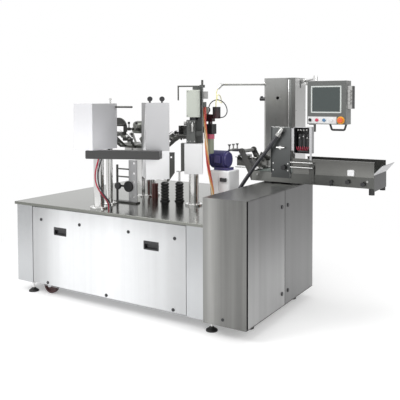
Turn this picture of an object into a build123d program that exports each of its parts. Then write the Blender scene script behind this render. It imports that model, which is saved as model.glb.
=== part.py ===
from build123d import *
from math import atan2, cos, degrees, radians, sin, tan
import os

os.makedirs("parts", exist_ok=True)

# A rotary pouch packing machine: a cabinet base with a round transfer table,
# two heat sealers, a pouch opener, a pouch magazine, a control cabinet and a
# swinging operator panel. Millimetres, X to the right along the front, Y to
# the back, Z up. Sizes below are in a working frame whose zero is the front
# left corner of the base; everything is moved to the middle at the end.

# Base
BASE_L = 1880.0
BASE_D = 1740.0
DECK_Z = 760.0
DECK_T = 22.0
DECK_LIP = 16.0
SKIRT_Z = 86.0
SHEET = 3.0
POST = 60.0
PAN_Z = 180.0
PANEL_X0 = 180.0
PANEL_X1 = BASE_L - 159.0
PANEL_SEAM = 5.0
PANEL_DEEP = 24.0
PANEL_SEAT = PANEL_DEEP + 0.3
UNDER_DECK = DECK_Z - DECK_T

# Flush handles and quarter turn fasteners of the access panel
HANDLE_L = 125.0
HANDLE_H = 55.0
HANDLE_X = (PANEL_X0 + 317.0, PANEL_X1 - 309.0)
HANDLE_Z = 551.0
TOP_FASTENER_X = (PANEL_X0 + 103.0, PANEL_X0 + 528.0, PANEL_X1 - 520.0, PANEL_X1 - 100.0)
TOP_FASTENER_Z = 630.0
LOW_FASTENER_X = (PANEL_X0 + 172.0, (PANEL_X0 + PANEL_X1) / 2 + 29.5, PANEL_X1 - 116.0)
LOW_FASTENER_Z = 112.0
FASTENER_R = 13.0

# Feet and casters
FOOT_R = 42.0
FOOT_X = 145.0
FOOT_Y = 40.0
FOOT_STEM_R = 8.0
WHEEL_R = 73.0
WHEEL_W = 40.0
WHEEL_LIFT = 2.0
AXLE_R = 6.0
RUNNING = 0.05
CASTER_IN = 319.0
CASTER_X = (CASTER_IN, CASTER_IN, BASE_L - CASTER_IN, BASE_L - CASTER_IN)
CASTER_Y = (78.0, BASE_D - 78.0, 300.0, BASE_D - 300.0)
CASTERS = tuple(zip(CASTER_X, CASTER_Y))
FORK_T = 6.0
FORK_GAP = 4.0

# Control cabinet
CAB_SEAM = 0.5
CAB_X0 = BASE_L + CAB_SEAM
CAB_W = 335.5
CAB_X1 = CAB_X0 + CAB_W
CAB_Y0 = -37.0
CAB_Y1 = 1136.0
CAB_Z0 = 86.0
CAB_Z1 = 952.0
CAB_SHEET = 3.0
DOOR_T = 14.0
DOOR_SHEET = 2.0
DOOR_GAP = 5.0
DOOR_FRONT_GAP = 25.0
DOOR_SEAL = 10.0
DOOR_SPLIT_Y = 583.0
MULLION = 34.0
PIVOT_R = 5.0
LOCK_R = 15.0
LOCK_IN = 51.0
LOCK_Z = (184.0, 829.0)
CAM_L = 46.0
BOLT_HEAD = 4.0
BOLT_X = CAB_X0 + 155.5
BOLT_Z = 133.0

# Round transfer table
TURRET_X = 740.0
TURRET_Y = 830.0
COLUMN_R = 95.0
COLUMN_FLANGE_R = 130.0
FLANGE_T = 14.0
COLUMN_TOP = 1140.0
NECK_R = 40.0
ROTOR_Z = 1156.0
ROTOR_R = 185.0
ROTOR_T = 46.0
HUB_R = 75.0
RING_T = 10.0
RING_R = 225.0
RING_GAP = 4.0
STATIONS = 8
GRIP_R = 400.0
GRIP_Z = 1290.0
HALF_POUCH = 13.4
ARM_T = 12.0
ARM_H = 22.0
FINGER_L = 24.0
FINGER_H = 30.0
FINGER_T = 7.0
SLIT = 1.2
CAM_HEAD_R = 112.0
CAM_HEAD_H = 105.0
CAM_HEAD_Z = 1322.0

# Heat sealers
SEALER_A_FRONT = 813.0
SEALER_A_BACK = 514.0
SEALER_A_W = 196.0
SEALER_A_Z0 = 1240.0
SEALER_A_Z1 = 1590.0
SEALER_B_FRONT = 700.0
SEALER_B_BACK = 455.0
SEALER_B_W = 188.0
SEALER_B_Z0 = 989.0
SEALER_B_SPLIT = 1215.0
SEALER_B_Z1 = 1595.0
SEALER_B_TURN = 45.0
COVER_SHEET = 2.0
BEARING_PLATE = 10.0
JAW_L = 150.0
JAW_H = 30.0
JAW_T = 20.0
JAW_OPEN = 15.0
JAW_Z = 1320.0
JAW_ROD_R = 8.0
JAW_ROD_X = 45.0
TIE_ROD_Z = 1410.0
TIE_ROD_X = 68.0

# Crossbar and posts under the sealers
BAR_R = 735.0
BAR_TURN = 22.5
BAR_X0 = -282.0
BAR_X1 = 313.0
BAR_W = 90.0
BAR_Z0 = 1158.0
BAR_Z1 = 1224.0
BAR_SHEET = 4.0
POST_A = (826.0, 102.0)
POST_A_R = 41.0
POST_B = (775.0, 290.0)
POST_B_R = 28.0
POST_FLANGE = 30.0

# Pouch stop between the posts and the table, and the settling unit beside the column
STOP_X0 = 745.0
STOP_X1 = 961.0
STOP_Y = 420.0
STOP_TOP = 1118.0
STOP_KNOB_Z = 897.0
SETTLER = (905.0, 745.0)
SETTLER_R = 30.0
SETTLER_TOP = 890.0

# Pouch opener column
OPENER_X = 1400.0
OPENER_Y = 605.0
OPENER_TURN = 30.0
OPENER_POST_R = 40.0
OPENER_BOX_W = 146.0
OPENER_BOX_D = 150.0
OPENER_BOX_Z0 = 1021.0
OPENER_BOX_Z1 = 1266.0
OPENER_NECK_Z1 = 1454.0
HEAD_Z0 = 1478.0
HEAD_Z1 = 1697.0
HEAD_W = 112.0
HEAD_D = 100.0
PLATE_T = 8.0
SLIDE_TRAVEL = 30.0
GUIDE_X1 = 84.0
GUIDE_DEEP = 20.0
GUIDE_Y = 24.0
GUIDE_Z = 1385.0
GUIDE_R = 8.0
CUP_Z = 1346.0
MANIFOLD_Z = 1560.0

# Lifting rods and their rubber boots
ROD_PLACES = ((1084.0, 644.0), (1190.0, 707.0))
ROD_R = 9.0
BOOT_R = 36.0
BOOT_H = 150.0
ROD_TOP = 1010.0
ROD_TRAVEL = 60.0

# Air preparation and vacuum unit
AIR_X = 1500.0
AIR_Y = 700.0
VAC_X = 1575.0
VAC_Y = 800.0

# Operator panel
HMI_X0 = 2218.0
HMI_X1 = 2537.0
HMI_Y0 = 1000.0
HMI_D = 120.0
HMI_Z0 = 1423.0
HMI_Z1 = 1763.0
HMI_SHEET = 2.0
BEZEL_X0 = 2252.0
BEZEL_X1 = 2499.0
BEZEL_Z0 = 1512.0
BEZEL_Z1 = 1724.0
BEZEL_RIM = 10.0
BEZEL_PROUD = 4.0
BUTTON_Z = 1456.0
BUTTON_X = (2244.0, 2302.0, 2361.0, 2420.0)
BUTTON_R = 13.0
BUTTON_TRAVEL = 4.0
BUTTON_COLLAR = 3.5
ESTOP_X = 2495.0
ESTOP_R = 20.0
ESTOP_RING_R = 30.0
ESTOP_TRAVEL = 6.0
GRAB_X0 = 2392.0
GRAB_X1 = 2522.0
GRAB_DROP = 44.0
SWIVEL_X = 2255.0
SWIVEL_Y = 1080.0
ARM_Z = HMI_Z1 + 21.0
ARM_R = 14.0
PIN_R = 9.0

# Tower and boom
TOWER_X0 = 1588.0
TOWER_X1 = 1905.0
TOWER_Y1 = BASE_D
TOWER_Y0 = TOWER_Y1 - 240.0
TOWER_Z1 = ARM_Z + 29.0
ARM_PIVOT_X = TOWER_X1 + 30.0
ARM_PIVOT_Y = TOWER_Y0 + 150.0
BOOM_R = 18.0
BOOM_Z = TOWER_Z1 - 48.0
BOOM_Y = TOWER_Y0 + 100.0
BOOM_TIP = (1204.0, 1409.0)

# Pouch magazine conveyor
MAG_X0 = CAB_X0 - 80.5
MAG_X1 = MAG_X0 + 997.0
MAG_Y0 = 860.0
MAG_Y1 = 1186.0
MAG_Z0 = 962.0
MAG_Z1 = 1040.0
MAG_SHEET = 4.0
TROUGH_Z1 = 1157.0
TROUGH_SHEET = 2.5
TROUGH_X0 = MAG_X0 + 350.0
TROUGH_STEP = 8.0
FLAP_X = MAG_X1 + 60.0
FLAP_Z = 1134.0
ROLLER_R = 26.0
BELT_T = 3.0
ROLLER_INSET = 50.0
ROLLER_SHAFT_R = 8.0
KNOB_R = 17.0
UPRIGHT_T = 8.0
UPRIGHT_X = MAG_X0 + 494.0

# Upright feed plate and valve box
FEED_X0 = MAG_X0 + 173.0
FEED_X1 = FEED_X0 + 169.0
FEED_Z0 = 1000.0
FEED_Z1 = 1405.0
FEED_T = 6.0
VALVE_X0 = FEED_X1 + 24.0
VALVE_X1 = VALVE_X0 + 133.0
VALVE_Z0 = 1198.0
VALVE_Z1 = 1403.0
VALVE_D = 90.0
LEVER_X = FEED_X0 + 89.0
LEVER_Z = 1240.0

# Cable gland on the feed plate
GLAND_X = FEED_X0 + 103.0
GLAND_Z = 1378.0
GLAND_REACH = 34.0
GLAND_L = 56.0
GLAND_AXIS = (-0.56, -0.12, -0.82)

# Pouch pick up arm
PICK_X = MAG_X0 - 110.0
PICK_Y = 1000.0
PICK_Z = 1190.0

# Middle of the machine, worked out from its outermost edges
MID_X = (FLAP_X - DECK_LIP) / 2
MID_Y = (CAB_Y0 - BOLT_HEAD + BASE_D + DECK_LIP) / 2


def block(x0, x1, y0, y1, z0, z1):
    """Rectangular block between two opposite corners."""
    size = Box(x1 - x0, y1 - y0, z1 - z0)
    return Pos((x0 + x1) / 2, (y0 + y1) / 2, (z0 + z1) / 2) * size


def rod(x, y, z0, z1, r):
    """Upright round bar."""
    return Pos(x, y, (z0 + z1) / 2) * Cylinder(r, z1 - z0)


def rod_y(x, z, y0, y1, r):
    """Round bar along Y."""
    return Pos(x, (y0 + y1) / 2, z) * Rot(90, 0, 0) * Cylinder(r, y1 - y0)


def rod_x(y, z, x0, x1, r):
    """Round bar along X."""
    return Pos((x0 + x1) / 2, y, z) * Rot(0, 90, 0) * Cylinder(r, x1 - x0)


def group(*solids):
    """Separate solids that share one name."""
    return Compound(children=[s for shape in solids for s in shape.solids()])


def about(x, y, turn, shape):
    """Turn a shape about an upright axis."""
    return Pos(x, y, 0) * Rot(0, 0, turn) * Pos(-x, -y, 0) * shape


def hollow(x0, x1, y0, y1, z0, z1, sheet, side):
    """Sheet metal box with one open side, named by its direction."""
    box = block(x0, x1, y0, y1, z0, z1)
    axis = {"X": Axis.X, "Y": Axis.Y, "Z": Axis.Z}[side[1]]
    faces = box.faces().sort_by(axis)
    open_face = faces[-1] if side[0] == "+" else faces[0]
    return offset(box, amount=-sheet, openings=open_face)


def flange(x, y, z, r, pitch, bolts):
    """Round foot flange with a ring of cap screws."""
    plate = rod(x, y, z, z + FLANGE_T, r)
    plate = fillet(plate.edges().group_by(Axis.Z)[-1], 2.5)
    for k in range(bolts):
        a = radians(360 * (k + 0.5) / bolts)
        plate += rod(x + pitch * cos(a), y + pitch * sin(a), z + FLANGE_T, z + FLANGE_T + 7, 6.5)
    return plate


def path_tube(points, r, name):
    """Bent tube: straight runs joined by arcs as large as the runs allow."""
    turns = []
    radii = []
    for a, b, c in zip(points, points[1:], points[2:]):
        first = Vector(*b) - Vector(*a)
        second = Vector(*c) - Vector(*b)
        turn = first.get_angle(second)
        turns.append(turn)
        radii.append(0.45 * min(first.length, second.length) / tan(radians(turn) / 2))
    line = FilletPolyline(*points, radius=radii)
    start = Plane(origin=line @ 0, z_dir=line % 0)
    tube = sweep(start * Circle(r), path=line)
    want = 3.14159265 * r * r * line.length
    print(name, "radii", [round(v) for v in radii], "turns", [round(v) for v in turns],
          "length", round(line.length), "volume ratio", round(tube.volume / want, 4))
    return tube


# Base with casters


def fork(x, y):
    """Rigid caster bracket bolted under the pan, with its axle."""
    half = WHEEL_W / 2 + FORK_GAP
    z = WHEEL_R + WHEEL_LIFT
    plate = block(x - 50, x + 50, y - half - FORK_T, y + half + FORK_T, PAN_Z - FORK_T, PAN_Z)
    for side in (-1, 1):
        y0 = y + side * (half + FORK_T / 2)
        with BuildSketch(Plane.XZ) as cheek:
            with Locations((x, z)):
                Circle(20)
            Polygon((x - 20, z), (x + 20, z), (x + 42, PAN_Z - 1), (x - 42, PAN_Z - 1), align=None)
        plate += Pos(0, y0 + FORK_T / 2, 0) * extrude(cheek.sketch, FORK_T)
    plate += rod_y(x, z, y - half - FORK_T - 4, y + half + FORK_T + 4, AXLE_R)
    return plate


def base_frame():
    """Welded sheet base: walls, corner posts, raised pan and front doorway."""
    walls = block(0, BASE_L, 0, BASE_D, SKIRT_Z, UNDER_DECK)
    walls -= block(SHEET, BASE_L - SHEET, SHEET, BASE_D - SHEET, SKIRT_Z, UNDER_DECK)
    walls += block(0, BASE_L, 0, BASE_D, PAN_Z, PAN_Z + SHEET)
    for x in (FOOT_X, BASE_L - FOOT_X):
        for y in (FOOT_Y, BASE_D - FOOT_Y):
            walls += block(x - POST / 2, x + POST / 2, y - POST / 2, y + POST / 2, SKIRT_Z, UNDER_DECK)
    walls -= block(PANEL_X0, PANEL_X1, -1, PANEL_SEAT, SKIRT_Z + 2, UNDER_DECK)
    stop = block(PANEL_X0 - POST, PANEL_X1 + POST, PANEL_SEAT, PANEL_SEAT + SHEET, SKIRT_Z, UNDER_DECK)
    stop -= block(PANEL_X0 + 22, PANEL_X1 - 22, PANEL_DEEP, PANEL_SEAT + 9, PAN_Z + 20, UNDER_DECK - 60)
    walls += stop
    forks = []
    for x, y in CASTERS:
        forks.append(fork(x, y))
    return group(walls, *forks)


def access_panel():
    """Lift off front panel, a shallow tray with cut outs for its handles."""
    x0 = PANEL_X0 + PANEL_SEAM
    x1 = PANEL_X1 - PANEL_SEAM
    z0 = SKIRT_Z + 8
    z1 = UNDER_DECK - 9
    tray = block(x0, x1, 1, PANEL_DEEP, z0, z1)
    tray = fillet(tray.edges().filter_by(Axis.Y), 4)
    tray -= block(x0 + SHEET, x1 - SHEET, 1 + SHEET, PANEL_DEEP, z0 + SHEET, z1 - SHEET)
    for x in HANDLE_X:
        tray -= block(x - HANDLE_L / 2, x + HANDLE_L / 2, 0, PANEL_DEEP,
                      HANDLE_Z - HANDLE_H / 2, HANDLE_Z + HANDLE_H / 2)
    for x in TOP_FASTENER_X:
        tray -= rod_y(x, TOP_FASTENER_Z, 0, PANEL_DEEP, FASTENER_R - 4)
    for x in LOW_FASTENER_X:
        tray -= rod_y(x, LOW_FASTENER_Z, 0, PANEL_DEEP, FASTENER_R - 4)
    return tray


def flush_handle(x):
    """Recessed grip: a cup let into the panel with a finger lip at the top."""
    half = HANDLE_L / 2
    z0 = HANDLE_Z - HANDLE_H / 2
    z1 = HANDLE_Z + HANDLE_H / 2
    cup = block(x - half + 0.2, x + half - 0.2, 1, 22, z0 + 0.2, z1 - 0.2)
    rim = block(x - half - 5, x + half + 5, -1.5, 1, z0 - 5, z1 + 5)
    rim = fillet(rim.edges().filter_by(Axis.Y), 4)
    cup += rim
    cup -= block(x - half + 5, x + half - 5, -2, 19, z0 + 5, z1 - 16)
    cup -= block(x - half + 5, x + half - 5, 3, 19, z1 - 17, z1 - 5)
    return cup


def fastener(x, z):
    """Quarter turn fastener: slotted head, shank and cam tongue behind."""
    head = rod_y(x, z, -3, 1, FASTENER_R)
    head = chamfer(head.edges().group_by(Axis.Y)[0], 1.2)
    head -= block(x - 9, x + 9, -3.5, -1.6, z - 1.4, z + 1.4)
    head += rod_y(x, z, 1, 18, FASTENER_R - 4.2)
    return head


def panel_hardware():
    """Handles and fasteners of the access panel and the cabinet front bolt."""
    pieces = [flush_handle(x) for x in HANDLE_X]
    pieces += [fastener(x, TOP_FASTENER_Z) for x in TOP_FASTENER_X]
    pieces += [fastener(x, LOW_FASTENER_Z) for x in LOW_FASTENER_X]
    bolt = rod_y(BOLT_X, BOLT_Z, CAB_Y0 - BOLT_HEAD, CAB_Y0, 11)
    bolt = chamfer(bolt.edges().group_by(Axis.Y)[0], 1)
    bolt -= Pos(BOLT_X, CAB_Y0 - BOLT_HEAD + 1, BOLT_Z) * Rot(90, 0, 0) * extrude(RegularPolygon(5, 6), 2.5)
    pieces.append(bolt)
    return group(*pieces)


def table_top():
    """Thick deck with a rounded rim and holes for rods and the drive shaft."""
    deck = block(-DECK_LIP, BASE_L, -DECK_LIP, BASE_D + DECK_LIP, UNDER_DECK, DECK_Z)
    deck = fillet(deck.edges().filter_by(Axis.Z), 3)
    deck = fillet(deck.edges().group_by(Axis.Z)[-1], 3)
    deck -= rod(TURRET_X, TURRET_Y, UNDER_DECK, DECK_Z, 34)
    for x, y in ROD_PLACES:
        deck -= rod(x, y, UNDER_DECK, DECK_Z, ROD_R + 3)
    return deck


def foot(x, y, top):
    """Levelling foot: round pad, domed cup, stem and lock nut."""
    with BuildSketch(Plane.XZ) as half:
        Polygon((0, 0), (FOOT_R, 0), (FOOT_R, 9), (FOOT_R - 8, 15), (20, 24), (15, 30), (0, 30), align=None)
    pad = revolve(half.sketch, Axis.Z)
    stem = rod(0, 0, 29, top, FOOT_STEM_R)
    nut = Pos(0, 0, top - 22) * extrude(RegularPolygon(14, 6), 10)
    return Pos(x, y, 0) * (pad + stem + nut)


def levelling_feet():
    """Feet under the base corners and the control cabinet."""
    feet = [foot(FOOT_X, y, SKIRT_Z) for y in (FOOT_Y, BASE_D - FOOT_Y)]
    feet.append(foot(BASE_L - FOOT_X, BASE_D - FOOT_Y, SKIRT_Z))
    for x, y in ((CAB_X0 + 12, 60), (CAB_X1 - 130, 240), (CAB_X1 - 130, CAB_Y1 - 140)):
        feet.append(foot(x, y, CAB_Z0))
    return group(*feet)


def caster_wheel(x, y):
    """Wheel with a hub, a web recess on each side and a rounded tread."""
    z = WHEEL_R + WHEEL_LIFT
    wheel = rod_y(x, z, y - WHEEL_W / 2, y + WHEEL_W / 2, WHEEL_R)
    wheel = fillet(wheel.edges().filter_by(GeomType.CIRCLE), 6)
    for side in (-1, 1):
        dish = rod_y(x, z, y + side * 12, y + side * (WHEEL_W / 2 + 1), WHEEL_R - 20) if side > 0 else \
            rod_y(x, z, y - WHEEL_W / 2 - 1, y - 12, WHEEL_R - 20)
        wheel -= dish
    wheel += rod_y(x, z, y - WHEEL_W / 2, y + WHEEL_W / 2, 16)
    wheel -= rod_y(x, z, y - WHEEL_W, y + WHEEL_W, AXLE_R + RUNNING)
    return wheel


# Control cabinet


def door_rim():
    """X where the cabinet body ends and the door seal gap starts."""
    return CAB_X1 - DOOR_T - DOOR_SEAL


def cabinet_shell():
    """Sheet cabinet open on its right side, with a mullion between doors."""
    body = block(CAB_X0, CAB_X1, CAB_Y0, CAB_Y1, CAB_Z0, CAB_Z1)
    s = CAB_SHEET
    body -= block(CAB_X0 + s, CAB_X1, CAB_Y0 + s, CAB_Y1 - s, CAB_Z0 + s, CAB_Z1 - s)
    body -= block(door_rim(), CAB_X1, CAB_Y0 + s, CAB_Y1, CAB_Z0 + s, CAB_Z1 - s)
    lip = block(door_rim() - 3, door_rim(), CAB_Y0, CAB_Y1, CAB_Z0, CAB_Z1)
    lip -= block(door_rim() - 4, door_rim() + 1, CAB_Y0 + DOOR_FRONT_GAP + 22, DOOR_SPLIT_Y - MULLION / 2,
                 CAB_Z0 + 24, CAB_Z1 - 24)
    lip -= block(door_rim() - 4, door_rim() + 1, DOOR_SPLIT_Y + MULLION / 2, CAB_Y1 - 24,
                 CAB_Z0 + 24, CAB_Z1 - 24)
    body += lip
    for y in (CAB_Y0 + DOOR_FRONT_GAP + DOOR_T / 2, CAB_Y1 - DOOR_T / 2):
        body -= rod(CAB_X1 - DOOR_T / 2, y, CAB_Z0 - 1, CAB_Z1 + 1, PIVOT_R + RUNNING)
    return body


def cabinet_door(y0, y1, pivot_y):
    """Door tray with folded edges and a pivot pin at top and bottom."""
    z0 = CAB_Z0 + CAB_SHEET + 3
    z1 = CAB_Z1 - CAB_SHEET - 3
    x0 = CAB_X1 - DOOR_T
    door = block(x0, CAB_X1, y0, y1, z0, z1)
    door = fillet(door.edges().filter_by(Axis.Z).sort_by(Axis.X)[-2:], 2)
    door -= block(x0, CAB_X1 - DOOR_SHEET, y0 + 14, y1 - 14, z0 + 14, z1 - 14)
    door += block(x0, x0 + DOOR_SHEET, y0 + 14, y1 - 14, z0 + 14, z1 - 14)
    lock_y = y1 - LOCK_IN if pivot_y < DOOR_SPLIT_Y else y0 + LOCK_IN
    for z in LOCK_Z:
        door -= rod_x(lock_y, z, x0, CAB_X1, LOCK_R - 5)
    door += rod(CAB_X1 - DOOR_T / 2, pivot_y, CAB_Z0, z0 + 1, PIVOT_R)
    door += rod(CAB_X1 - DOOR_T / 2, pivot_y, z1 - 1, CAB_Z1, PIVOT_R)
    return door


def door_lock(y, z):
    """Cam lock: round head, body through the door and a tongue behind it."""
    head = rod_x(y, z, CAB_X1, CAB_X1 + 5, LOCK_R)
    head = fillet(head.edges().group_by(Axis.X)[-1], 1.5)
    head -= block(CAB_X1 + 3, CAB_X1 + 6, y - 1.5, y + 1.5, z - 6, z + 6)
    body = rod_x(y, z, door_rim() - 12, CAB_X1, LOCK_R - 5 - RUNNING)
    tongue = block(door_rim() - 12, door_rim() - 8, y - 9, y + 9, z - CAM_L, z + 9)
    tongue = fillet(tongue.edges().filter_by(Axis.X), 4)
    return head + body + tongue


def electrical_panel():
    """Back plate with rails, drives, contactors, terminals and wiring duct."""
    x0 = CAB_X0 + CAB_SHEET
    plate = block(x0 + 12, x0 + 15, CAB_Y0 + 45, CAB_Y1 - 45, CAB_Z0 + 45, CAB_Z1 - 45)
    for y in (CAB_Y0 + 90, CAB_Y1 - 90):
        for z in (CAB_Z0 + 90, CAB_Z1 - 90):
            plate += rod_x(y, z, x0, x0 + 12, 8)
    pieces = [plate]
    face = x0 + 15
    for row, z in enumerate((250.0, 500.0, 750.0)):
        rail = block(face, face + 7, CAB_Y0 + 80, CAB_Y1 - 80, z - 17, z + 17)
        pieces.append(rail)
        duct = block(face, face + 50, CAB_Y0 + 70, CAB_Y1 - 70, z + 95, z + 125)
        pieces.append(duct)
        for k in range(4 + 2 * row):
            wide = 150.0 - 34.0 * row
            y = CAB_Y0 + 100 + k * (wide + 22)
            module = block(face + 7, face + 95 - 12 * row, y, y + wide, z - 70 + 8 * row, z + 70 - 8 * row)
            module = fillet(module.edges().filter_by(Axis.X), 4)
            pieces.append(module)
    return group(*pieces)


def drive_unit():
    """Main drive inside the base: motor, reducer, indexer and cam shaft."""
    z = PAN_Z + SHEET
    plate = block(TURRET_X - 230, TURRET_X + 560, TURRET_Y - 170, TURRET_Y + 170, z, z + 20)
    indexer = block(TURRET_X - 130, TURRET_X + 130, TURRET_Y - 120, TURRET_Y + 120, z + 20, z + 250)
    indexer = fillet(indexer.edges().filter_by(Axis.Z), 20)
    shaft = rod(TURRET_X, TURRET_Y, z + 250, DECK_Z - 2, 30)
    cam_axis = z + 130
    cam_shaft = rod_x(TURRET_Y, cam_axis, TURRET_X + 130, TURRET_X + 400, 18)
    for k in range(4):
        cam_x = TURRET_X + 170 + 50 * k
        cam_shaft += Pos(0, 12 - 8 * k, 0) * rod_x(TURRET_Y, cam_axis, cam_x, cam_x + 16, 70)
    reducer = block(TURRET_X + 400, TURRET_X + 520, TURRET_Y - 75, TURRET_Y + 75, z + 20, z + 230)
    reducer = fillet(reducer.edges().filter_by(Axis.X), 15)
    motor = rod_y(TURRET_X + 460, cam_axis, TURRET_Y + 75, TURRET_Y + 330, 68)
    for k in range(7):
        motor += rod_y(TURRET_X + 460, cam_axis, TURRET_Y + 100 + 28 * k, TURRET_Y + 108 + 28 * k, 80)
    return group(plate, indexer + shaft, cam_shaft, reducer, motor)


# Round transfer table


def turret_column():
    """Fixed column with foot flange, neck and the cam head on top."""
    x, y = TURRET_X, TURRET_Y
    column = flange(x, y, DECK_Z, COLUMN_FLANGE_R, COLUMN_FLANGE_R - 15, 8)
    body = rod(x, y, DECK_Z + FLANGE_T, COLUMN_TOP, COLUMN_R)
    body = fillet(body.edges().group_by(Axis.Z)[-1], 6)
    column += body
    column += rod(x, y, COLUMN_TOP, CAM_HEAD_Z, NECK_R)
    head = rod(x, y, CAM_HEAD_Z, CAM_HEAD_Z + CAM_HEAD_H, CAM_HEAD_R)
    head = fillet(head.edges().group_by(Axis.Z)[-1], 34)
    head += rod(x, y, CAM_HEAD_Z + 12, CAM_HEAD_Z + 24, CAM_HEAD_R + 10)
    column += head
    return column


def turret_rotor():
    """Turning hub with a toothed index rim and lightening holes."""
    x, y = TURRET_X, TURRET_Y
    top = ring_top() + 4
    hub = rod(x, y, ROTOR_Z, top, HUB_R)
    disc = rod(x, y, ROTOR_Z, ROTOR_Z + ROTOR_T, ROTOR_R)
    disc = fillet(disc.edges().group_by(Axis.Z)[-1], 5)
    for k in range(STATIONS):
        a = radians(45 * k + 22.5)
        disc -= rod(x + 130 * cos(a), y + 130 * sin(a), ROTOR_Z - 1, ROTOR_Z + ROTOR_T + 1, 22)
        a = radians(45 * k)
        disc -= rod(x + ROTOR_R * cos(a), y + ROTOR_R * sin(a), ROTOR_Z - 1, ROTOR_Z + ROTOR_T + 1, 12)
    rotor = hub + disc
    rotor -= rod(x, y, ROTOR_Z - 1, top + 1, NECK_R + RUNNING)
    return rotor


def ring_level(upper):
    """Underside of the lower or the upper gripper ring."""
    low = ROTOR_Z + ROTOR_T + 0.3
    return low + RING_T + RING_GAP if upper else low


def ring_top():
    return ring_level(True) + RING_T


def gripper_arm(z, side):
    """One cranked arm along +X with its pair of clamp fingers."""
    rise0 = RING_R + 12
    rise1 = GRIP_R - 70
    low = z
    high = GRIP_Z - ARM_H / 2
    with BuildSketch(Plane.XZ) as profile:
        Polygon((RING_R - 30, low), (rise0, low), (rise1, high), (GRIP_R, high),
                (GRIP_R, high + ARM_H), (rise1 - 14, high + ARM_H), (rise0 - 10, low + RING_T),
                (RING_R - 30, low + RING_T), align=None)
    arm = Pos(0, ARM_T / 2, 0) * extrude(profile.sketch, ARM_T)
    inner = -side * (ARM_T / 2)
    y0 = min(inner, inner - side * FINGER_L)
    y1 = max(inner, inner - side * FINGER_L)
    z0 = GRIP_Z - FINGER_H / 2
    for sign in (-1, 1):
        near = GRIP_R - 8 + sign * SLIT / 2
        far = near + sign * FINGER_T
        finger = block(min(near, far), max(near, far), y0, y1, z0, z0 + FINGER_H)
        arm += finger
    web = block(GRIP_R - 8 - FINGER_T, GRIP_R - 8 + FINGER_T, min(inner, inner - side * 6),
                max(inner, inner - side * 6), z0, z0 + FINGER_H)
    arm += web
    arm += Pos(GRIP_R - 40, 0, high + ARM_H) * Cylinder(7, 6, align=(Align.CENTER, Align.CENTER, Align.MIN))
    return arm


def arm_ring(upper):
    """Ring that carries eight left or right arms and shifts them together."""
    z = ring_level(upper)
    side = -1 if upper else 1
    ring = rod(0, 0, z, z + RING_T, RING_R)
    ring -= rod(0, 0, z - 1, z + RING_T + 1, HUB_R + RUNNING)
    for k in range(STATIONS):
        a = radians(45 * k + 22.5)
        ring -= rod(135 * cos(a), 135 * sin(a), z - 1, z + RING_T + 1, 26)
    for k in range(STATIONS):
        ring += Rot(0, 0, 45 * k + side * HALF_POUCH) * gripper_arm(z, side)
    return Pos(TURRET_X, TURRET_Y, 0) * ring


# Heat sealers, drawn facing the front and turned about the table's axis


def sealer_cover(front, back, wide, z0, z1, split):
    """Folded cover with a bearing plate on the table's side."""
    x0 = TURRET_X - wide / 2
    x1 = TURRET_X + wide / 2
    y0 = TURRET_Y - front
    y1 = TURRET_Y - back - BEARING_PLATE
    outer = block(x0, x1, y0, y1, z0, z1)
    outer = fillet(outer.edges().filter_by(Axis.Z).group_by(Axis.Y)[0], 3)
    cover = outer - block(x0 + COVER_SHEET, x1 - COVER_SHEET, y0 + COVER_SHEET, y1,
                          z0 + COVER_SHEET, z1 - COVER_SHEET)
    if split:
        cover -= block(x0 - 1, x1 + 1, y0 - 1, y0 + 1, split - 1.2, split + 1.2)
    plate = block(x0, x1, y1, y1 + BEARING_PLATE, z0, z1)
    for side in (-1, 1):
        x = TURRET_X + side * JAW_ROD_X
        plate -= rod_y(x, JAW_Z + JAW_H / 2, y1 - 1, y1 + BEARING_PLATE + 1, JAW_ROD_R + RUNNING)
        x = TURRET_X + side * TIE_ROD_X
        plate -= rod_y(x, TIE_ROD_Z, y1 - 1, y1 + BEARING_PLATE + 1, JAW_ROD_R + RUNNING)
    return cover + plate


def jaw_outer(back):
    """Outer seal bar with its heater block and two push rods."""
    y0 = TURRET_Y - GRIP_R - JAW_OPEN - 2 - JAW_T
    bar = block(TURRET_X - JAW_L / 2, TURRET_X + JAW_L / 2, y0, y0 + JAW_T, JAW_Z, JAW_Z + JAW_H)
    for k in range(5):
        z = JAW_Z + 5 + 5 * k
        bar -= block(TURRET_X - JAW_L, TURRET_X + JAW_L, y0 + JAW_T - 1, y0 + JAW_T + 1, z - 1, z + 1)
    for side in (-1, 1):
        x = TURRET_X + side * JAW_ROD_X
        bar += rod_y(x, JAW_Z + JAW_H / 2, TURRET_Y - back - 70, y0 + 1, JAW_ROD_R)
    return bar


def jaw_inner(back):
    """Inner seal bar under an arched yoke, hung from two rods over the pouch."""
    y0 = TURRET_Y - GRIP_R + JAW_OPEN + 2
    half = TIE_ROD_X + 18
    arch_z = TIE_ROD_Z - 28
    yoke = rod_y(TURRET_X, arch_z, y0 + 4, y0 + JAW_T - 2, half)
    yoke -= block(TURRET_X - half, TURRET_X + half, y0, y0 + JAW_T, arch_z - half, arch_z)
    yoke += block(TURRET_X - half, TURRET_X + half, y0 + 4, y0 + JAW_T - 2, JAW_Z + JAW_H - 1, arch_z)
    yoke -= block(TURRET_X - half + 32, TURRET_X + half - 32, y0, y0 + JAW_T, JAW_Z + JAW_H, arch_z + 14)
    bar = block(TURRET_X - JAW_L / 2, TURRET_X + JAW_L / 2, y0, y0 + JAW_T, JAW_Z, JAW_Z + JAW_H) + yoke
    for side in (-1, 1):
        x = TURRET_X + side * TIE_ROD_X
        bar += rod_y(x, TIE_ROD_Z, TURRET_Y - back - 70, y0 + JAW_T, JAW_ROD_R)
    return bar


def turned(shape):
    """Place a sealer part at the second sealing station."""
    return about(TURRET_X, TURRET_Y, SEALER_B_TURN, shape)


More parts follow.
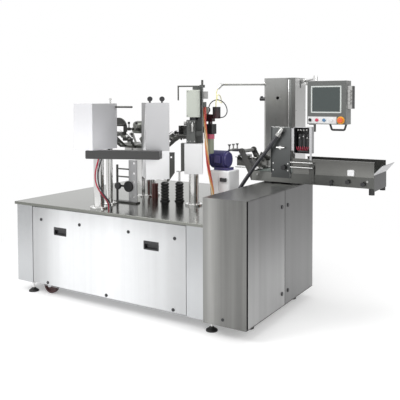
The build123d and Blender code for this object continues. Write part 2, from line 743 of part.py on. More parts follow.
def sealer_a_cover():
    """First sealer cover with its pressure rod and top adjuster."""
    cover = sealer_cover(SEALER_A_FRONT, SEALER_A_BACK, SEALER_A_W, SEALER_A_Z0, SEALER_A_Z1, None)
    x1 = TURRET_X + SEALER_A_W / 2
    y1 = TURRET_Y - SEALER_A_BACK
    cover += rod(x1 - 48, y1 - 26, SEALER_A_Z1, SEALER_A_Z1 + 44, 8)
    cover += rod(x1 - 48, y1 - 26, SEALER_A_Z1 + 30, SEALER_A_Z1 + 38, 12)
    cover += rod_x(y1 - 16, SEALER_A_Z1 - 29, x1 - 1, x1 + 170, 8)
    base = block(TURRET_X - SEALER_A_W / 2, x1, TURRET_Y - SEALER_A_FRONT, y1, BAR_Z1, SEALER_A_Z0)
    return group(cover, base)


def sealer_b_cover():
    """Second sealer: tall cover over a lower box, with two gauge knobs."""
    cover = sealer_cover(SEALER_B_FRONT, SEALER_B_BACK, SEALER_B_W, SEALER_B_Z0, SEALER_B_Z1,
                         SEALER_B_SPLIT)
    y0 = TURRET_Y - SEALER_B_FRONT
    for x in (TURRET_X - 55, TURRET_X + 42):
        cover += rod(x, y0 + 40, SEALER_B_Z1, SEALER_B_Z1 + 14, 7)
        cover += rod_y(x, SEALER_B_Z1 + 30, y0 + 28, y0 + 50, 20)
    x = TURRET_X + SEALER_B_W / 2
    z = SEALER_B_Z0
    with BuildSketch(Plane.XZ) as outline:
        Polygon((x, z + 200), (x + 68, z + 200), (x + 68, z + 32), (x + 16, z - 40), (x, z - 40), align=None)
    wing = Pos(0, TURRET_Y - 554, 0) * extrude(outline.sketch, 6)
    wing -= rod_y(x + 40, z + 160, TURRET_Y - 561, TURRET_Y - 553, 8)
    return group(turned(cover), turned(wing))


def crossbar_frame(shape):
    """Place something drawn along the crossbar's own length."""
    a = radians(270 + BAR_TURN)
    x = TURRET_X + BAR_R * cos(a)
    y = TURRET_Y + BAR_R * sin(a)
    return Pos(x, y, 0) * Rot(0, 0, BAR_TURN) * shape


def pouch_stop():
    """Height stop on the deck: drilled plate, slim upright, two rods, hand knob and disc."""
    y = STOP_Y
    frame = block(STOP_X0 - 10, STOP_X1 + 9, y - 28, y + 28, DECK_Z, DECK_Z + 12)
    frame += block(STOP_X0, STOP_X0 + 12, y - 8, y + 8, DECK_Z + 11, STOP_TOP - 44)
    frame += block(STOP_X1 - 85, STOP_X1, y - 4, y + 4, DECK_Z + 11, STOP_TOP)
    for z in (STOP_TOP - 78, STOP_TOP - 143):
        frame += rod_x(y, z, STOP_X0 + 6, STOP_X1 - 80, 6)
    frame += block(STOP_X0 + 6, STOP_X1 - 80, y - 4, y + 4, STOP_KNOB_Z - 8, STOP_KNOB_Z + 8)
    for z in (STOP_TOP - 25, STOP_TOP - 110, STOP_TOP - 180, STOP_TOP - 300):
        frame -= rod_y(STOP_X1 - 32, z, y - 5, y + 5, 10)
    knob = rod_y(STOP_X0 + 30, STOP_KNOB_Z, y - 34, y - 14, 30)
    knob = chamfer(knob.edges().group_by(Axis.Y)[0], 4)
    knob += rod_y(STOP_X0 + 30, STOP_KNOB_Z, y - 15, y - 4, 9)
    disc = rod_y(STOP_X1 - 85, STOP_KNOB_Z, y - 18, y - 4, 45)
    disc = chamfer(disc.edges().group_by(Axis.Y)[0], 3)
    return [frame, knob, disc]


def settler():
    """Round settling unit on the deck with a grooved body and a cap."""
    x, y = SETTLER
    body = rod(x, y, DECK_Z, SETTLER_TOP, SETTLER_R)
    for k in range(3):
        z = DECK_Z + 40 + 25 * k
        body -= rod(x, y, z, z + 5, SETTLER_R + 1) - rod(x, y, z, z + 5, SETTLER_R - 4)
    return fillet(body.edges().group_by(Axis.Z)[-1], 5)


def sealer_stand():
    """Folded crossbar on two posts, its clamp, the pouch stop and the settling unit."""
    bar = block(BAR_X0, BAR_X1, -BAR_W / 2, BAR_W / 2, BAR_Z0, BAR_Z1)
    bar = fillet(bar.edges().filter_by(Axis.Y), 9)
    bar -= block(BAR_X0 + BAR_SHEET, BAR_X1 - BAR_SHEET, -BAR_W / 2 + BAR_SHEET, BAR_W / 2 - BAR_SHEET,
                 BAR_Z0, BAR_Z1 - BAR_SHEET)
    bar = crossbar_frame(bar)
    clamp = turned(block(TURRET_X - 60, TURRET_X + 20, TURRET_Y - SEALER_B_FRONT - 90,
                         TURRET_Y - SEALER_B_FRONT, BAR_Z0 + 6, BAR_Z1 - 14))
    clamp -= crossbar_frame(block(BAR_X0 - 99, BAR_X1 + 99, -BAR_W * 3, BAR_W / 2, 0, 2 * BAR_Z1))
    posts = []
    for place, r, top in ((POST_A, POST_A_R, BAR_Z0), (POST_B, POST_B_R, BAR_Z1)):
        x, y = place
        post = flange(x, y, DECK_Z, r + POST_FLANGE, r + POST_FLANGE - 13, 4)
        post += rod(x, y, DECK_Z + FLANGE_T, top, r)
        posts.append(post)
    return group(bar, clamp, *posts, *pouch_stop(), settler())


# Pouch opener


def opener_frame(shape):
    """Place something drawn about the opener post, facing its own front."""
    return Pos(OPENER_X, OPENER_Y, 0) * Rot(0, 0, OPENER_TURN) * shape


def plate_face():
    """Outer face of the opener's side plate, from the post's axis."""
    return OPENER_BOX_W / 2 + 4


def toward_table(shape):
    """Place something drawn along -X from the post so that it points at the table."""
    a = degrees(atan2(OPENER_Y - TURRET_Y, OPENER_X - TURRET_X))
    return Pos(OPENER_X, OPENER_Y, 0) * Rot(0, 0, a) * shape


def guide_block():
    """Bored block on the neck that the suction carriage runs in."""
    guide = block(-GUIDE_X1, -GUIDE_X1 + 50, -42, 42, GUIDE_Z - 55, GUIDE_Z + 22)
    return fillet(guide.edges().filter_by(Axis.X), 5)


def opener_column():
    """Post, gear box, neck, head box, side plate and the top sensor rod."""
    w = OPENER_BOX_W / 2
    d = OPENER_BOX_D / 2
    post = flange(0, 0, DECK_Z, OPENER_POST_R + POST_FLANGE, OPENER_POST_R + 17, 4)
    post += rod(0, 0, DECK_Z + FLANGE_T, OPENER_BOX_Z0, OPENER_POST_R)
    gear = block(-w, w, -d, d, OPENER_BOX_Z0, OPENER_BOX_Z1)
    gear = fillet(gear.edges().filter_by(Axis.Z), 5)
    neck = block(-w + 16, 18, -d + 24, d - 20, OPENER_BOX_Z1, OPENER_NECK_Z1)
    neck = chamfer(neck.edges().filter_by(Axis.Z), 6)
    for k in range(3):
        z = OPENER_BOX_Z1 + 40 + 50 * k
        neck += rod_y(-w + 34, z, -d + 14, -d + 25, 9)
    collar = rod(0, 0, OPENER_NECK_Z1, HEAD_Z0, 33)
    head = block(-HEAD_W / 2, HEAD_W / 2, -HEAD_D / 2, HEAD_D / 2, HEAD_Z0, HEAD_Z1)
    head = fillet(head.edges().filter_by(Axis.Z), 6)
    head = fillet(head.edges().group_by(Axis.Z)[-1], 4)
    plate = block(plate_face() - PLATE_T, plate_face(), -d - 5, d, OPENER_BOX_Z1 + 30, HEAD_Z1 + 33)
    plate -= block(w - 13, w - 2, -d + 30, d - 30, HEAD_Z0 - 80, HEAD_Z0 - 20)
    back = block(-10, plate_face(), 30, 38, OPENER_BOX_Z1 - 1, HEAD_Z1 + 33)
    stay = block(17, plate_face() - PLATE_T + 1, -20, 20, OPENER_BOX_Z1 + 60, OPENER_BOX_Z1 + 100)
    shield = block(-w - 30, -w + 1, -40, 40, OPENER_BOX_Z0 + 20, OPENER_BOX_Z1)
    arm = block(HEAD_W / 2 - 1, plate_face() - PLATE_T + 1, -20, 20, HEAD_Z0 + 60, HEAD_Z0 + 100)
    mast_x = plate_face() - PLATE_T
    mast = rod(mast_x, 34, HEAD_Z1, HEAD_Z1 + 82, 9)
    cross = block(mast_x - 22, mast_x + 22, 23, 45, HEAD_Z1 + 20, HEAD_Z1 + 42)
    feeler = rod_x(34, HEAD_Z1 + 31, -127, mast_x, 6)
    feeler += rod(-127, 34, HEAD_Z1 - 84, HEAD_Z1 + 37, 6)
    body = post + gear + neck + collar + head + plate + back + stay + shield + arm + mast + cross + feeler
    body += block(plate_face() - 1, plate_face() + 40, -10, 30, HEAD_Z1 - 72, HEAD_Z1 - 12)
    body += rod_y(plate_face() + 21, HEAD_Z1 - 42, -24, -9, 17)
    body += block(plate_face() - 1, plate_face() + 28, -60, -28, MANIFOLD_Z, MANIFOLD_Z + 40)
    body = opener_frame(body) + toward_table(guide_block())
    for side in (-1, 1):
        bore = rod_x(side * GUIDE_Y, GUIDE_Z, -GUIDE_X1 - 1, GUIDE_DEEP, GUIDE_R + RUNNING)
        body -= toward_table(bore)
    return body


def opener_slide():
    """Suction carriage that runs in towards the pouch on twin rods."""
    x1 = -GUIDE_X1 - SLIDE_TRAVEL - 8
    slide = block(x1 - 26, x1, -42, 42, GUIDE_Z - 50, GUIDE_Z + 20)
    slide = fillet(slide.edges().filter_by(Axis.X), 5)
    for side in (-1, 1):
        slide += rod_x(side * GUIDE_Y, GUIDE_Z, x1 - 1, GUIDE_DEEP - SLIDE_TRAVEL - 4, GUIDE_R)
        slide += rod_x(side * 24, CUP_Z, x1 - 70, x1 - 20, 7)
        slide += Pos(x1 - 80, side * 24, CUP_Z) * Rot(0, 90, 0) * Cone(15, 8, 22)
    return toward_table(slide)


def lift_rods():
    """Two rods that rise together under the pouch, with a rest plate each."""
    rods = []
    for x, y in ROD_PLACES:
        shaft = rod(x, y, DECK_Z - ROD_TRAVEL, ROD_TOP, ROD_R)
        rest = rod(x, y, ROD_TOP, ROD_TOP + 8, 26)
        rest = fillet(rest.edges().group_by(Axis.Z)[-1], 2)
        rods.append(shaft + rest)
    return group(*rods)


def boot(x, y):
    """Pleated rubber boot around a lifting rod."""
    pleats = 6
    pitch = BOOT_H / pleats
    edge = [(ROD_R + RUNNING, 0), (BOOT_R + 6, 0), (BOOT_R + 6, 8)]
    for k in range(pleats):
        z = 8 + k * pitch
        edge.append((BOOT_R - 8, z + 2))
        edge.append((BOOT_R, z + pitch * 0.35))
        edge.append((BOOT_R, z + pitch * 0.7))
    edge += [(BOOT_R - 8, BOOT_H + 8), (ROD_R + 8, BOOT_H + 16), (ROD_R + RUNNING, BOOT_H + 16)]
    with BuildSketch(Plane.XZ) as half:
        Polygon(*edge, align=None)
    return Pos(x, y, DECK_Z) * revolve(half.sketch, Axis.Z)


def rod_boots():
    return group(*[boot(x, y) for x, y in ROD_PLACES])


# Air preparation and vacuum unit


def air_unit():
    """Filter bowl, red clamp ring, valves and gauge on a bracket."""
    x, y = AIR_X, AIR_Y
    bowl = rod(x, y, 1175, 1300, 30)
    bowl = fillet(bowl.edges().group_by(Axis.Z)[0], 14)
    ring = rod(x, y, 1300, 1340, 35)
    ring -= block(x - 3, x + 3, y - 40, y - 28, 1300, 1340)
    head = block(x - 42, x + 42, y - 34, y + 34, 1340, 1420)
    head = fillet(head.edges().filter_by(Axis.Z), 9)
    head += rod(x, y, 1420, 1441, 18)
    valve = block(x - 30, x + 30, y - 24, y + 26, 1440, 1500)
    valve = fillet(valve.edges().filter_by(Axis.Y), 6)
    gauge = rod_y(x - 18, 1535, y - 34, y - 10, 25)
    gauge = chamfer(gauge.edges().group_by(Axis.Y)[0], 2)
    gauge += rod(x - 18, y - 20, 1499, 1512, 6)
    coil = block(x + 29, x + 34, y - 15, y + 15, 1472, 1496)
    coil += fillet(block(x + 33, x + 86, y - 24, y + 24, 1466, 1560).edges().filter_by(Axis.Z), 8)
    bracket = opener_frame(block(plate_face(), plate_face() + 60, 20, 52, 1350, 1400))
    return group(bowl, ring, head + valve + coil + gauge + bracket)


def vacuum_unit():
    """Finned motor on top of a two part pump housing with a handle."""
    x, y = VAC_X, VAC_Y
    housing = block(x - 90, x + 95, y - 90, y + 90, DECK_Z, 1040)
    housing = fillet(housing.edges().filter_by(Axis.Z), 16)
    housing = fillet(housing.edges().group_by(Axis.Z)[-1], 8)
    housing -= block(x - 6, x - 2, y - 91, y - 86, DECK_Z + 20, 1010)
    hand = block(x + 20, x + 70, y - 112, y - 104, 955, 985)
    hand += block(x + 20, x + 28, y - 105, y - 90, 955, 985)
    hand += block(x + 62, x + 70, y - 105, y - 90, 955, 985)
    saddle = block(x - 70, x + 60, y - 50, y + 50, 1040, 1062)
    motor = rod_x(y, 1125, x - 115, x + 45, 62)
    for k in range(9):
        motor += rod_x(y, 1125, x - 100 + 15 * k, x - 94 + 15 * k, 74)
    motor += rod_x(y, 1125, x - 138, x - 115, 50)
    motor += block(x - 40, x + 10, y - 92, y - 60, 1105, 1160)
    return group(housing, hand, saddle + motor)


# Tower and boom


def tower():
    """Folded steel tower on the deck, and the bent boom pipe near its top."""
    cut = 26.0
    with BuildSketch(Plane.XY) as plan:
        Polygon((TOWER_X0 + cut, TOWER_Y0), (TOWER_X1, TOWER_Y0), (TOWER_X1, TOWER_Y1),
                (TOWER_X0, TOWER_Y1), (TOWER_X0, TOWER_Y0 + cut), align=None)
    body = Pos(0, 0, DECK_Z) * extrude(plan.sketch, TOWER_Z1 - DECK_Z)
    body = offset(body, amount=-SHEET, openings=body.faces().sort_by(Axis.Z)[0])
    body -= block(TOWER_X1 - 58, TOWER_X1 - 54, TOWER_Y0 - 1, TOWER_Y0 + 1.5, DECK_Z, TOWER_Z1)
    body -= rod_y(TOWER_X0 + 145, TOWER_Z1 - 181, TOWER_Y0 - 1, TOWER_Y0 + SHEET + 1, 14)
    ear_z = ARM_Z
    body += block(TOWER_X1, ARM_PIVOT_X + 20, ARM_PIVOT_Y - 20, ARM_PIVOT_Y + 20, ear_z - 38, ear_z - 22)
    body += block(TOWER_X1, TOWER_X1 + 6, ARM_PIVOT_Y - 34, ARM_PIVOT_Y + 34, ear_z - 60, ear_z + 10)
    body += rod(ARM_PIVOT_X, ARM_PIVOT_Y, ear_z - 38, ear_z + 24, PIN_R)
    fit_y = TOWER_Y0 + 60
    fit_z = TOWER_Z1 - 190
    fitting = rod_x(fit_y, fit_z, TOWER_X0 - 60, TOWER_X0, 17)
    fitting += rod(TOWER_X0 - 44, fit_y, fit_z, fit_z + 27, 12)
    fitting = fillet(fitting.edges().group_by(Axis.X)[0], 3)
    tip_x, tip_y = BOOM_TIP
    route = [(TOWER_X0, BOOM_Y, BOOM_Z), (tip_x, tip_y, BOOM_Z), (tip_x - 34, tip_y - 16, BOOM_Z - 42)]
    line = FilletPolyline(*route, radius=45)
    pipe = sweep(Plane(origin=line @ 0, z_dir=line % 0) * Circle(BOOM_R), path=line)
    bore = sweep(Plane(origin=line @ 0, z_dir=line % 0) * Circle(BOOM_R - 3), path=line)
    return group(body, fitting, pipe - bore)


# Operator panel


def hmi_arm():
    """Swing arm from the tower to the panel, with an eye at each end."""
    eye = rod(ARM_PIVOT_X, ARM_PIVOT_Y, ARM_Z - 21.7, ARM_Z + 20, PIN_R + 11)
    tip = rod(SWIVEL_X, SWIVEL_Y, ARM_Z - 16, ARM_Z + 16, PIN_R + 9)
    dx = SWIVEL_X - ARM_PIVOT_X
    dy = SWIVEL_Y - ARM_PIVOT_Y
    long = (dx * dx + dy * dy) ** 0.5
    tube = Plane(origin=(ARM_PIVOT_X, ARM_PIVOT_Y, ARM_Z), z_dir=(dx, dy, 0)) * \
        Cylinder(ARM_R, long, align=(Align.CENTER, Align.CENTER, Align.MIN))
    arm = eye + tip + tube
    arm -= rod(ARM_PIVOT_X, ARM_PIVOT_Y, ARM_Z - 60, ARM_Z + 60, PIN_R + RUNNING)
    arm -= rod(SWIVEL_X, SWIVEL_Y, ARM_Z - 60, ARM_Z + 60, PIN_R + RUNNING)
    return arm


def hmi_enclosure():
    """Sheet enclosure with a bezel opening, button holes and a hanging pin."""
    y1 = HMI_Y0 + HMI_D
    box = block(HMI_X0, HMI_X1, HMI_Y0, y1, HMI_Z0, HMI_Z1)
    box = fillet(box.edges().filter_by(Axis.Z), 6)
    inner = block(HMI_X0 + HMI_SHEET, HMI_X1 - HMI_SHEET, HMI_Y0 + HMI_SHEET, y1 - HMI_SHEET,
                  HMI_Z0 + HMI_SHEET, HMI_Z1 - HMI_SHEET)
    box -= inner
    box -= block(BEZEL_X0 + BEZEL_RIM, BEZEL_X1 - BEZEL_RIM, HMI_Y0 - 1, HMI_Y0 + HMI_SHEET + 1,
                 BEZEL_Z0 + BEZEL_RIM, BEZEL_Z1 - BEZEL_RIM)
    for x in BUTTON_X:
        box -= rod_y(x, BUTTON_Z, HMI_Y0 - 1, HMI_Y0 + HMI_SHEET + 1, BUTTON_R + RUNNING)
    box -= rod_y(ESTOP_X, BUTTON_Z, HMI_Y0 - 1, HMI_Y0 + HMI_SHEET + 1, ESTOP_R - 6)
    pin = rod(SWIVEL_X, SWIVEL_Y, HMI_Z1 - 0.5, ARM_Z + 24, PIN_R)
    pin += rod(SWIVEL_X, SWIVEL_Y, HMI_Z1 - 0.5, ARM_Z - 16.3, PIN_R + 6)
    pin += rod(SWIVEL_X, SWIVEL_Y, ARM_Z + 16.3, ARM_Z + 26, PIN_R + 6)
    return box + pin


def hmi_screen():
    """Touch screen: light rim around a flat glass, on the enclosure's face."""
    rim = block(BEZEL_X0, BEZEL_X1, HMI_Y0 - BEZEL_PROUD, HMI_Y0, BEZEL_Z0, BEZEL_Z1)
    rim = fillet(rim.edges().filter_by(Axis.Y), 5)
    rim -= block(BEZEL_X0 + BEZEL_RIM, BEZEL_X1 - BEZEL_RIM, HMI_Y0 - BEZEL_PROUD - 1, HMI_Y0 + 1,
                 BEZEL_Z0 + BEZEL_RIM, BEZEL_Z1 - BEZEL_RIM)
    glass = block(BEZEL_X0 + BEZEL_RIM, BEZEL_X1 - BEZEL_RIM, HMI_Y0 - BEZEL_PROUD + 1.5, HMI_Y0 + 20,
                  BEZEL_Z0 + BEZEL_RIM, BEZEL_Z1 - BEZEL_RIM)
    return rim + glass


def hmi_button(x, height):
    """Push button cap with its plunger through the face."""
    cap = rod_y(x, BUTTON_Z, HMI_Y0 - BUTTON_COLLAR - height, HMI_Y0 + 14, BUTTON_R)
    return chamfer(cap.edges().group_by(Axis.Y)[0], 1)


def hmi_selector():
    """Round selector with a raised finger grip."""
    x = BUTTON_X[0]
    y0 = HMI_Y0 - BUTTON_COLLAR
    knob = rod_y(x, BUTTON_Z, y0 - 3, HMI_Y0 + 14, BUTTON_R)
    grip = block(x - 4, x + 4, y0 - 16, y0 - 2, BUTTON_Z - 12, BUTTON_Z + 12)
    grip = fillet(grip.edges().filter_by(Axis.Y), 3)
    return knob + grip


def hmi_estop():
    """Mushroom stop button with a domed head."""
    back = HMI_Y0 - ESTOP_TRAVEL - 8
    stem = rod_y(ESTOP_X, BUTTON_Z, back, HMI_Y0 + 16, ESTOP_R - 6 - RUNNING)
    head = rod_y(ESTOP_X, BUTTON_Z, back - 18, back, ESTOP_R)
    head = fillet(head.edges().group_by(Axis.Y)[0], 7)
    return stem + head


def hmi_fittings():
    """Grab handle, button plate, stop ring, side connector strip, bracket."""
    y0 = HMI_Y0
    plate = block(HMI_X0 + 8, ESTOP_X - 34, y0 - BUTTON_COLLAR, y0, BUTTON_Z - 27, BUTTON_Z + 27)
    for x in BUTTON_X:
        plate -= rod_y(x, BUTTON_Z, y0 - 9, y0 + 1, BUTTON_R + RUNNING)
    ring = rod_y(ESTOP_X, BUTTON_Z, y0 - 5, y0, ESTOP_RING_R)
    ring -= rod_y(ESTOP_X, BUTTON_Z, y0 - 9, y0 + 1, ESTOP_R - 6 + RUNNING)
    x0 = GRAB_X0
    x1 = GRAB_X1
    z = HMI_Z0 - GRAB_DROP
    hand = Pos(0, y0 + 50, 0) * FilletPolyline((x0, 0, HMI_Z0), (x0 + 14, 0, z), (x1 - 14, 0, z),
                                               (x1, 0, HMI_Z0), radius=14)
    grab = sweep(Plane(origin=hand @ 0, z_dir=hand % 0) * Circle(8), path=hand)
    grab -= block(x0 - 30, x1 + 30, y0, y0 + 99, HMI_Z0, HMI_Z0 + 30)
    strip = block(HMI_X1, HMI_X1 + 40, y0 + 20, y0 + 84, 1545, 1722)
    strip = fillet(strip.edges().filter_by(Axis.Y), 4)
    for k in range(4):
        strip += rod_y(HMI_X1 + 21, 1590 + 30 * k, y0 + 4, y0 + 21, 11)
    angle = block(HMI_X0 + 14, HMI_X0 + 60, y0 + 8, y0 + 40, HMI_Z0 - 6, HMI_Z0)
    angle += block(HMI_X0 + 52, HMI_X0 + 60, y0 + 8, y0 + 40, HMI_Z0 - 62, HMI_Z0)
    return group(plate, ring, grab, strip, angle)


# Pouch magazine conveyor


def magazine_beam():
    """Conveyor frame: side plates, cross tubes, end plate, pads and feet."""
    s = MAG_SHEET
    beam = block(MAG_X0, MAG_X1, MAG_Y0, MAG_Y1, MAG_Z0, MAG_Z1)
    beam -= block(MAG_X0, MAG_X1 - s, MAG_Y0 + s, MAG_Y1 - s, MAG_Z0 + s, MAG_Z1)
    beam += block(MAG_X1 - s, MAG_X1, MAG_Y0, MAG_Y1, MAG_Z0 - 20, MAG_Z1 + 24)
    beam += block(MAG_X0, MAG_X1 - s, MAG_Y0, MAG_Y0 + TROUGH_STEP + 4, MAG_Z1 - s, MAG_Z1)
    mid = MAG_Z1 - ROLLER_R
    for x in (MAG_X0 + ROLLER_INSET, MAG_X1 - ROLLER_INSET):
        beam -= rod_y(x, mid, MAG_Y0 - 1, MAG_Y1 + 1, ROLLER_SHAFT_R + RUNNING)
    for x in (BASE_L + 60, CAB_X1 - 50):
        for y in (MAG_Y0 + 30, MAG_Y1 - 80):
            beam += block(x - 30, x + 30, y - 20, y + 20, CAB_Z1, MAG_Z0)
    for y in (MAG_Y0 + 12, MAG_Y1 - 22):
        beam += rod(MAG_X1 - 21.5, y, MAG_Z0 - 46, MAG_Z0, 21)
    front = MAG_Y0 - UPRIGHT_T
    upright = block(UPRIGHT_X, UPRIGHT_X + 40, front, MAG_Y0, MAG_Z0 + 8, TROUGH_Z1 - 46)
    for z in (MAG_Z0 + 22, MAG_Z0 + 56):
        upright += rod_y(UPRIGHT_X + 20, z, front - 5, front, 7)
    return beam + upright


def magazine_trough():
    """Pouch trough: two folded walls above the belt and a sloped end flap."""
    t = TROUGH_SHEET
    y = MAG_Y0 + TROUGH_STEP
    front = block(TROUGH_X0, MAG_X1 - MAG_SHEET, y, y + t, MAG_Z1, TROUGH_Z1)
    front += block(TROUGH_X0, MAG_X1 - MAG_SHEET, y, y + 16, TROUGH_Z1 - t, TROUGH_Z1)
    back = block(TROUGH_X0, MAG_X1 - MAG_SHEET, MAG_Y1 - t, MAG_Y1, MAG_Z1, TROUGH_Z1 - 8)
    back += block(TROUGH_X0, MAG_X1 - MAG_SHEET, MAG_Y1 - 16, MAG_Y1, TROUGH_Z1 - 8 - t, TROUGH_Z1 - 8)
    with BuildSketch(Plane.XZ) as slope:
        Polygon((MAG_X1 - MAG_SHEET, MAG_Z1 + 24), (MAG_X1 + 2, MAG_Z1 + 24), (FLAP_X, FLAP_Z - 4),
                (FLAP_X, FLAP_Z), (FLAP_X - 4, FLAP_Z), (MAG_X1 - MAG_SHEET, MAG_Z1 + 30), align=None)
    flap = Pos(0, MAG_Y1, 0) * extrude(slope.sketch, MAG_Y1 - MAG_Y0)
    guide = block(MAG_X1 - 197, MAG_X1 - 147, MAG_Y0 - 14, y, MAG_Z1 + 10, MAG_Z1 + 54)
    guide = fillet(guide.edges().filter_by(Axis.Y), 5)
    rails = []
    for z, seat in ((MAG_Z1 + 50, MAG_Y0 - UPRIGHT_T), (MAG_Z1 + 88, y)):
        rail = rod_x(MAG_Y0 - 22, z, FEED_X1 + 4, UPRIGHT_X + 36, 7)
        rail += rod_y(UPRIGHT_X + 28, z, MAG_Y0 - 22, seat, 6)
        rails.append(rail)
    return group(front, back, flap, guide, *rails)


def magazine_belt():
    """Endless belt around the two rollers."""
    x0 = MAG_X0 + ROLLER_INSET
    x1 = MAG_X1 - ROLLER_INSET
    z = MAG_Z1 - ROLLER_R
    with BuildSketch(Plane.XZ) as loop:
        with Locations(((x0 + x1) / 2, z)):
            SlotCenterToCenter(x1 - x0, 2 * (ROLLER_R + BELT_T))
            SlotCenterToCenter(x1 - x0, 2 * (ROLLER_R + 0.3), mode=Mode.SUBTRACT)
    return Pos(0, MAG_Y1 - 18, 0) * extrude(loop.sketch, MAG_Y1 - MAG_Y0 - 36)


def roller(x):
    """Conveyor roller with journals in the side plates."""
    z = MAG_Z1 - ROLLER_R
    drum = rod_y(x, z, MAG_Y0 + 14, MAG_Y1 - 14, ROLLER_R)
    drum = chamfer(drum.edges().filter_by(GeomType.CIRCLE), 2)
    return drum + rod_y(x, z, MAG_Y0 - 6, MAG_Y1 + 6, ROLLER_SHAFT_R)


def star_knob(x, y, z, r):
    """Lobed hand knob that points forwards, with its stud."""
    knob = rod_y(x, z, y - 24, y - 9, r)
    for k in range(6):
        a = radians(60 * k)
        knob -= rod_y(x + r * 1.12 * cos(a), z + r * 1.12 * sin(a), y - 25, y - 8, r * 0.28)
    knob += rod_y(x, z, y - 10, y, r * 0.45)
    return knob


def hand_knobs():
    """Clamp knobs on the conveyor and the feed plate."""
    plate_y = MAG_Y0 - FEED_T
    places = [(MAG_X1 - 196, MAG_Y0, MAG_Z0 + 40, KNOB_R)]
    places += [(MAG_X1 - ROLLER_INSET - 30, MAG_Y0, MAG_Z0 + 30, KNOB_R)]
    places += [(MAG_X0 + 674, MAG_Y0, MAG_Z0 + 34, KNOB_R * 0.7)]
    places += [(MAG_X0 + 674, MAG_Y0, MAG_Z0 + 10, KNOB_R * 0.5)]
    places += [(FEED_X1 - 57, plate_y, MAG_Z1 + 43, KNOB_R * 1.2)]
    return group(*[star_knob(*place) for place in places])


# Feed plate, valve box, lever and pick up arm


def gland_place(out):
    """Point on the gland's slanted axis, and that axis as a direction."""
    drop = Vector(*GLAND_AXIS).normalized()
    place = Vector(GLAND_X, MAG_Y0 - FEED_T - GLAND_REACH, GLAND_Z) + drop * out
    return place, drop


def cable_gland():
    """Elbow on the plate whose nut points down along the cable."""
    y0 = MAG_Y0 - FEED_T
    elbow = rod_y(GLAND_X, GLAND_Z, y0 - GLAND_REACH, y0, 18)
    elbow += Pos(GLAND_X, y0 - GLAND_REACH, GLAND_Z) * Sphere(18)
    place, drop = gland_place(0)
    elbow += Plane(origin=place, z_dir=drop) * Cylinder(18, 30, align=(Align.CENTER, Align.CENTER, Align.MIN))
    place, drop = gland_place(30)
    elbow += Plane(origin=place, z_dir=drop) * extrude(RegularPolygon(24, 6), GLAND_L - 30)
    return elbow


def feed_plate():
    """Upright plate beside the magazine with the open valve box next to it."""
    y1 = MAG_Y0
    y0 = MAG_Y0 - FEED_T
    plate = block(FEED_X0, FEED_X1, y0, y1, FEED_Z0, FEED_Z1)
    plate = fillet(plate.edges().filter_by(Axis.Y), 4)
    plate += block(FEED_X0, FEED_X0 + 6, y0 - 8, y0, MAG_Z1, FEED_Z1 - 4)
    plate += block(FEED_X1 - 6, FEED_X1, y0 - 8, y0, MAG_Z1, FEED_Z1 - 4)
    for x in (FEED_X0 + 22, FEED_X1 - 22):
        for z in (MAG_Z1 + 20, MAG_Z1 + 74):
            plate += rod_y(x, z, y0 - 6, y0, 6)
    plate += cable_gland()
    plate -= rod_y(LEVER_X, LEVER_Z, y0 - 1, y1 + 1, 8 + RUNNING)
    box = hollow(VALVE_X0, VALVE_X1, y0, y0 + VALVE_D, VALVE_Z0, VALVE_Z1, 3, "-Y")
    box += block(FEED_X1, VALVE_X0, y0 + 3, y1, VALVE_Z0 + 20, VALVE_Z1 - 10)
    box += block(VALVE_X1, VALVE_X1 + 16, y0, y0 + 3, MAG_Z1 + 110, VALVE_Z1 + 6)
    valves = []
    for k in range(3):
        x = VALVE_X0 + 26 + 32 * k
        body = block(x, x + 24, y0 + VALVE_D - 50, y0 + VALVE_D - 3, VALVE_Z0 + 30, VALVE_Z0 + 150)
        valves.append(fillet(body.edges().filter_by(Axis.Y), 3))
    return group(plate, box, *valves)


def clamp_lever():
    """T lever that locks the magazine width, on a pin through the plate."""
    y0 = MAG_Y0 - FEED_T
    boss = rod_y(LEVER_X, LEVER_Z, y0 - 26, y0 - 0.3, 14)
    boss += rod_y(LEVER_X, LEVER_Z, y0 - 1, MAG_Y0 + 8, 8)
    bar = rod_x(y0 - 20, LEVER_Z, LEVER_X - 36, LEVER_X + 36, 7)
    bar = fillet(bar.edges().filter_by(GeomType.CIRCLE), 3)
    return boss + bar


def pickup_arm():
    """Swinging arm with suction cups that lifts a pouch off the magazine."""
    hub = rod_y(PICK_X, PICK_Z, PICK_Y - 90, PICK_Y + 90, 15)
    arm = block(PICK_X - 150, PICK_X, PICK_Y - 16, PICK_Y + 16, PICK_Z - 12, PICK_Z + 12)
    arm = fillet(arm.edges().filter_by(Axis.Y), 8)
    bar = rod_y(PICK_X - 140, PICK_Z, PICK_Y - 80, PICK_Y + 80, 9)
    cups = hub + arm + bar
    for y in (-70, 0, 70):
        cups += rod(PICK_X - 140, PICK_Y + y, PICK_Z, PICK_Z + 34, 6)
        cups += Pos(PICK_X - 140, PICK_Y + y, PICK_Z + 42) * Cone(6, 15, 18)
    cups -= rod_y(PICK_X, PICK_Z, PICK_Y - 99, PICK_Y + 99, 8 + RUNNING)
    return cups


def pickup_bracket():
    """Bearing plates and shaft that carry the pick up arm off the beam."""
    solid = rod_y(PICK_X, PICK_Z, PICK_Y - 120, PICK_Y + 120, 8)
    for side in (-1, 1):
        y = PICK_Y + side * 108
        with BuildSketch(Plane.XZ) as cheek:
            with Locations((PICK_X, PICK_Z)):
                Circle(26)
            Polygon((PICK_X - 26, PICK_Z), (PICK_X + 26, PICK_Z), (MAG_X0, MAG_Z1),
                    (MAG_X0, MAG_Z0), (MAG_X0 - 24, MAG_Z0), align=None)
        solid += Pos(0, y + 5, 0) * extrude(cheek.sketch, 10)
    solid += block(MAG_X0 - 12, MAG_X0, MAG_Y0, MAG_Y1, MAG_Z0, MAG_Z1)
    return solid


# Cords and hoses

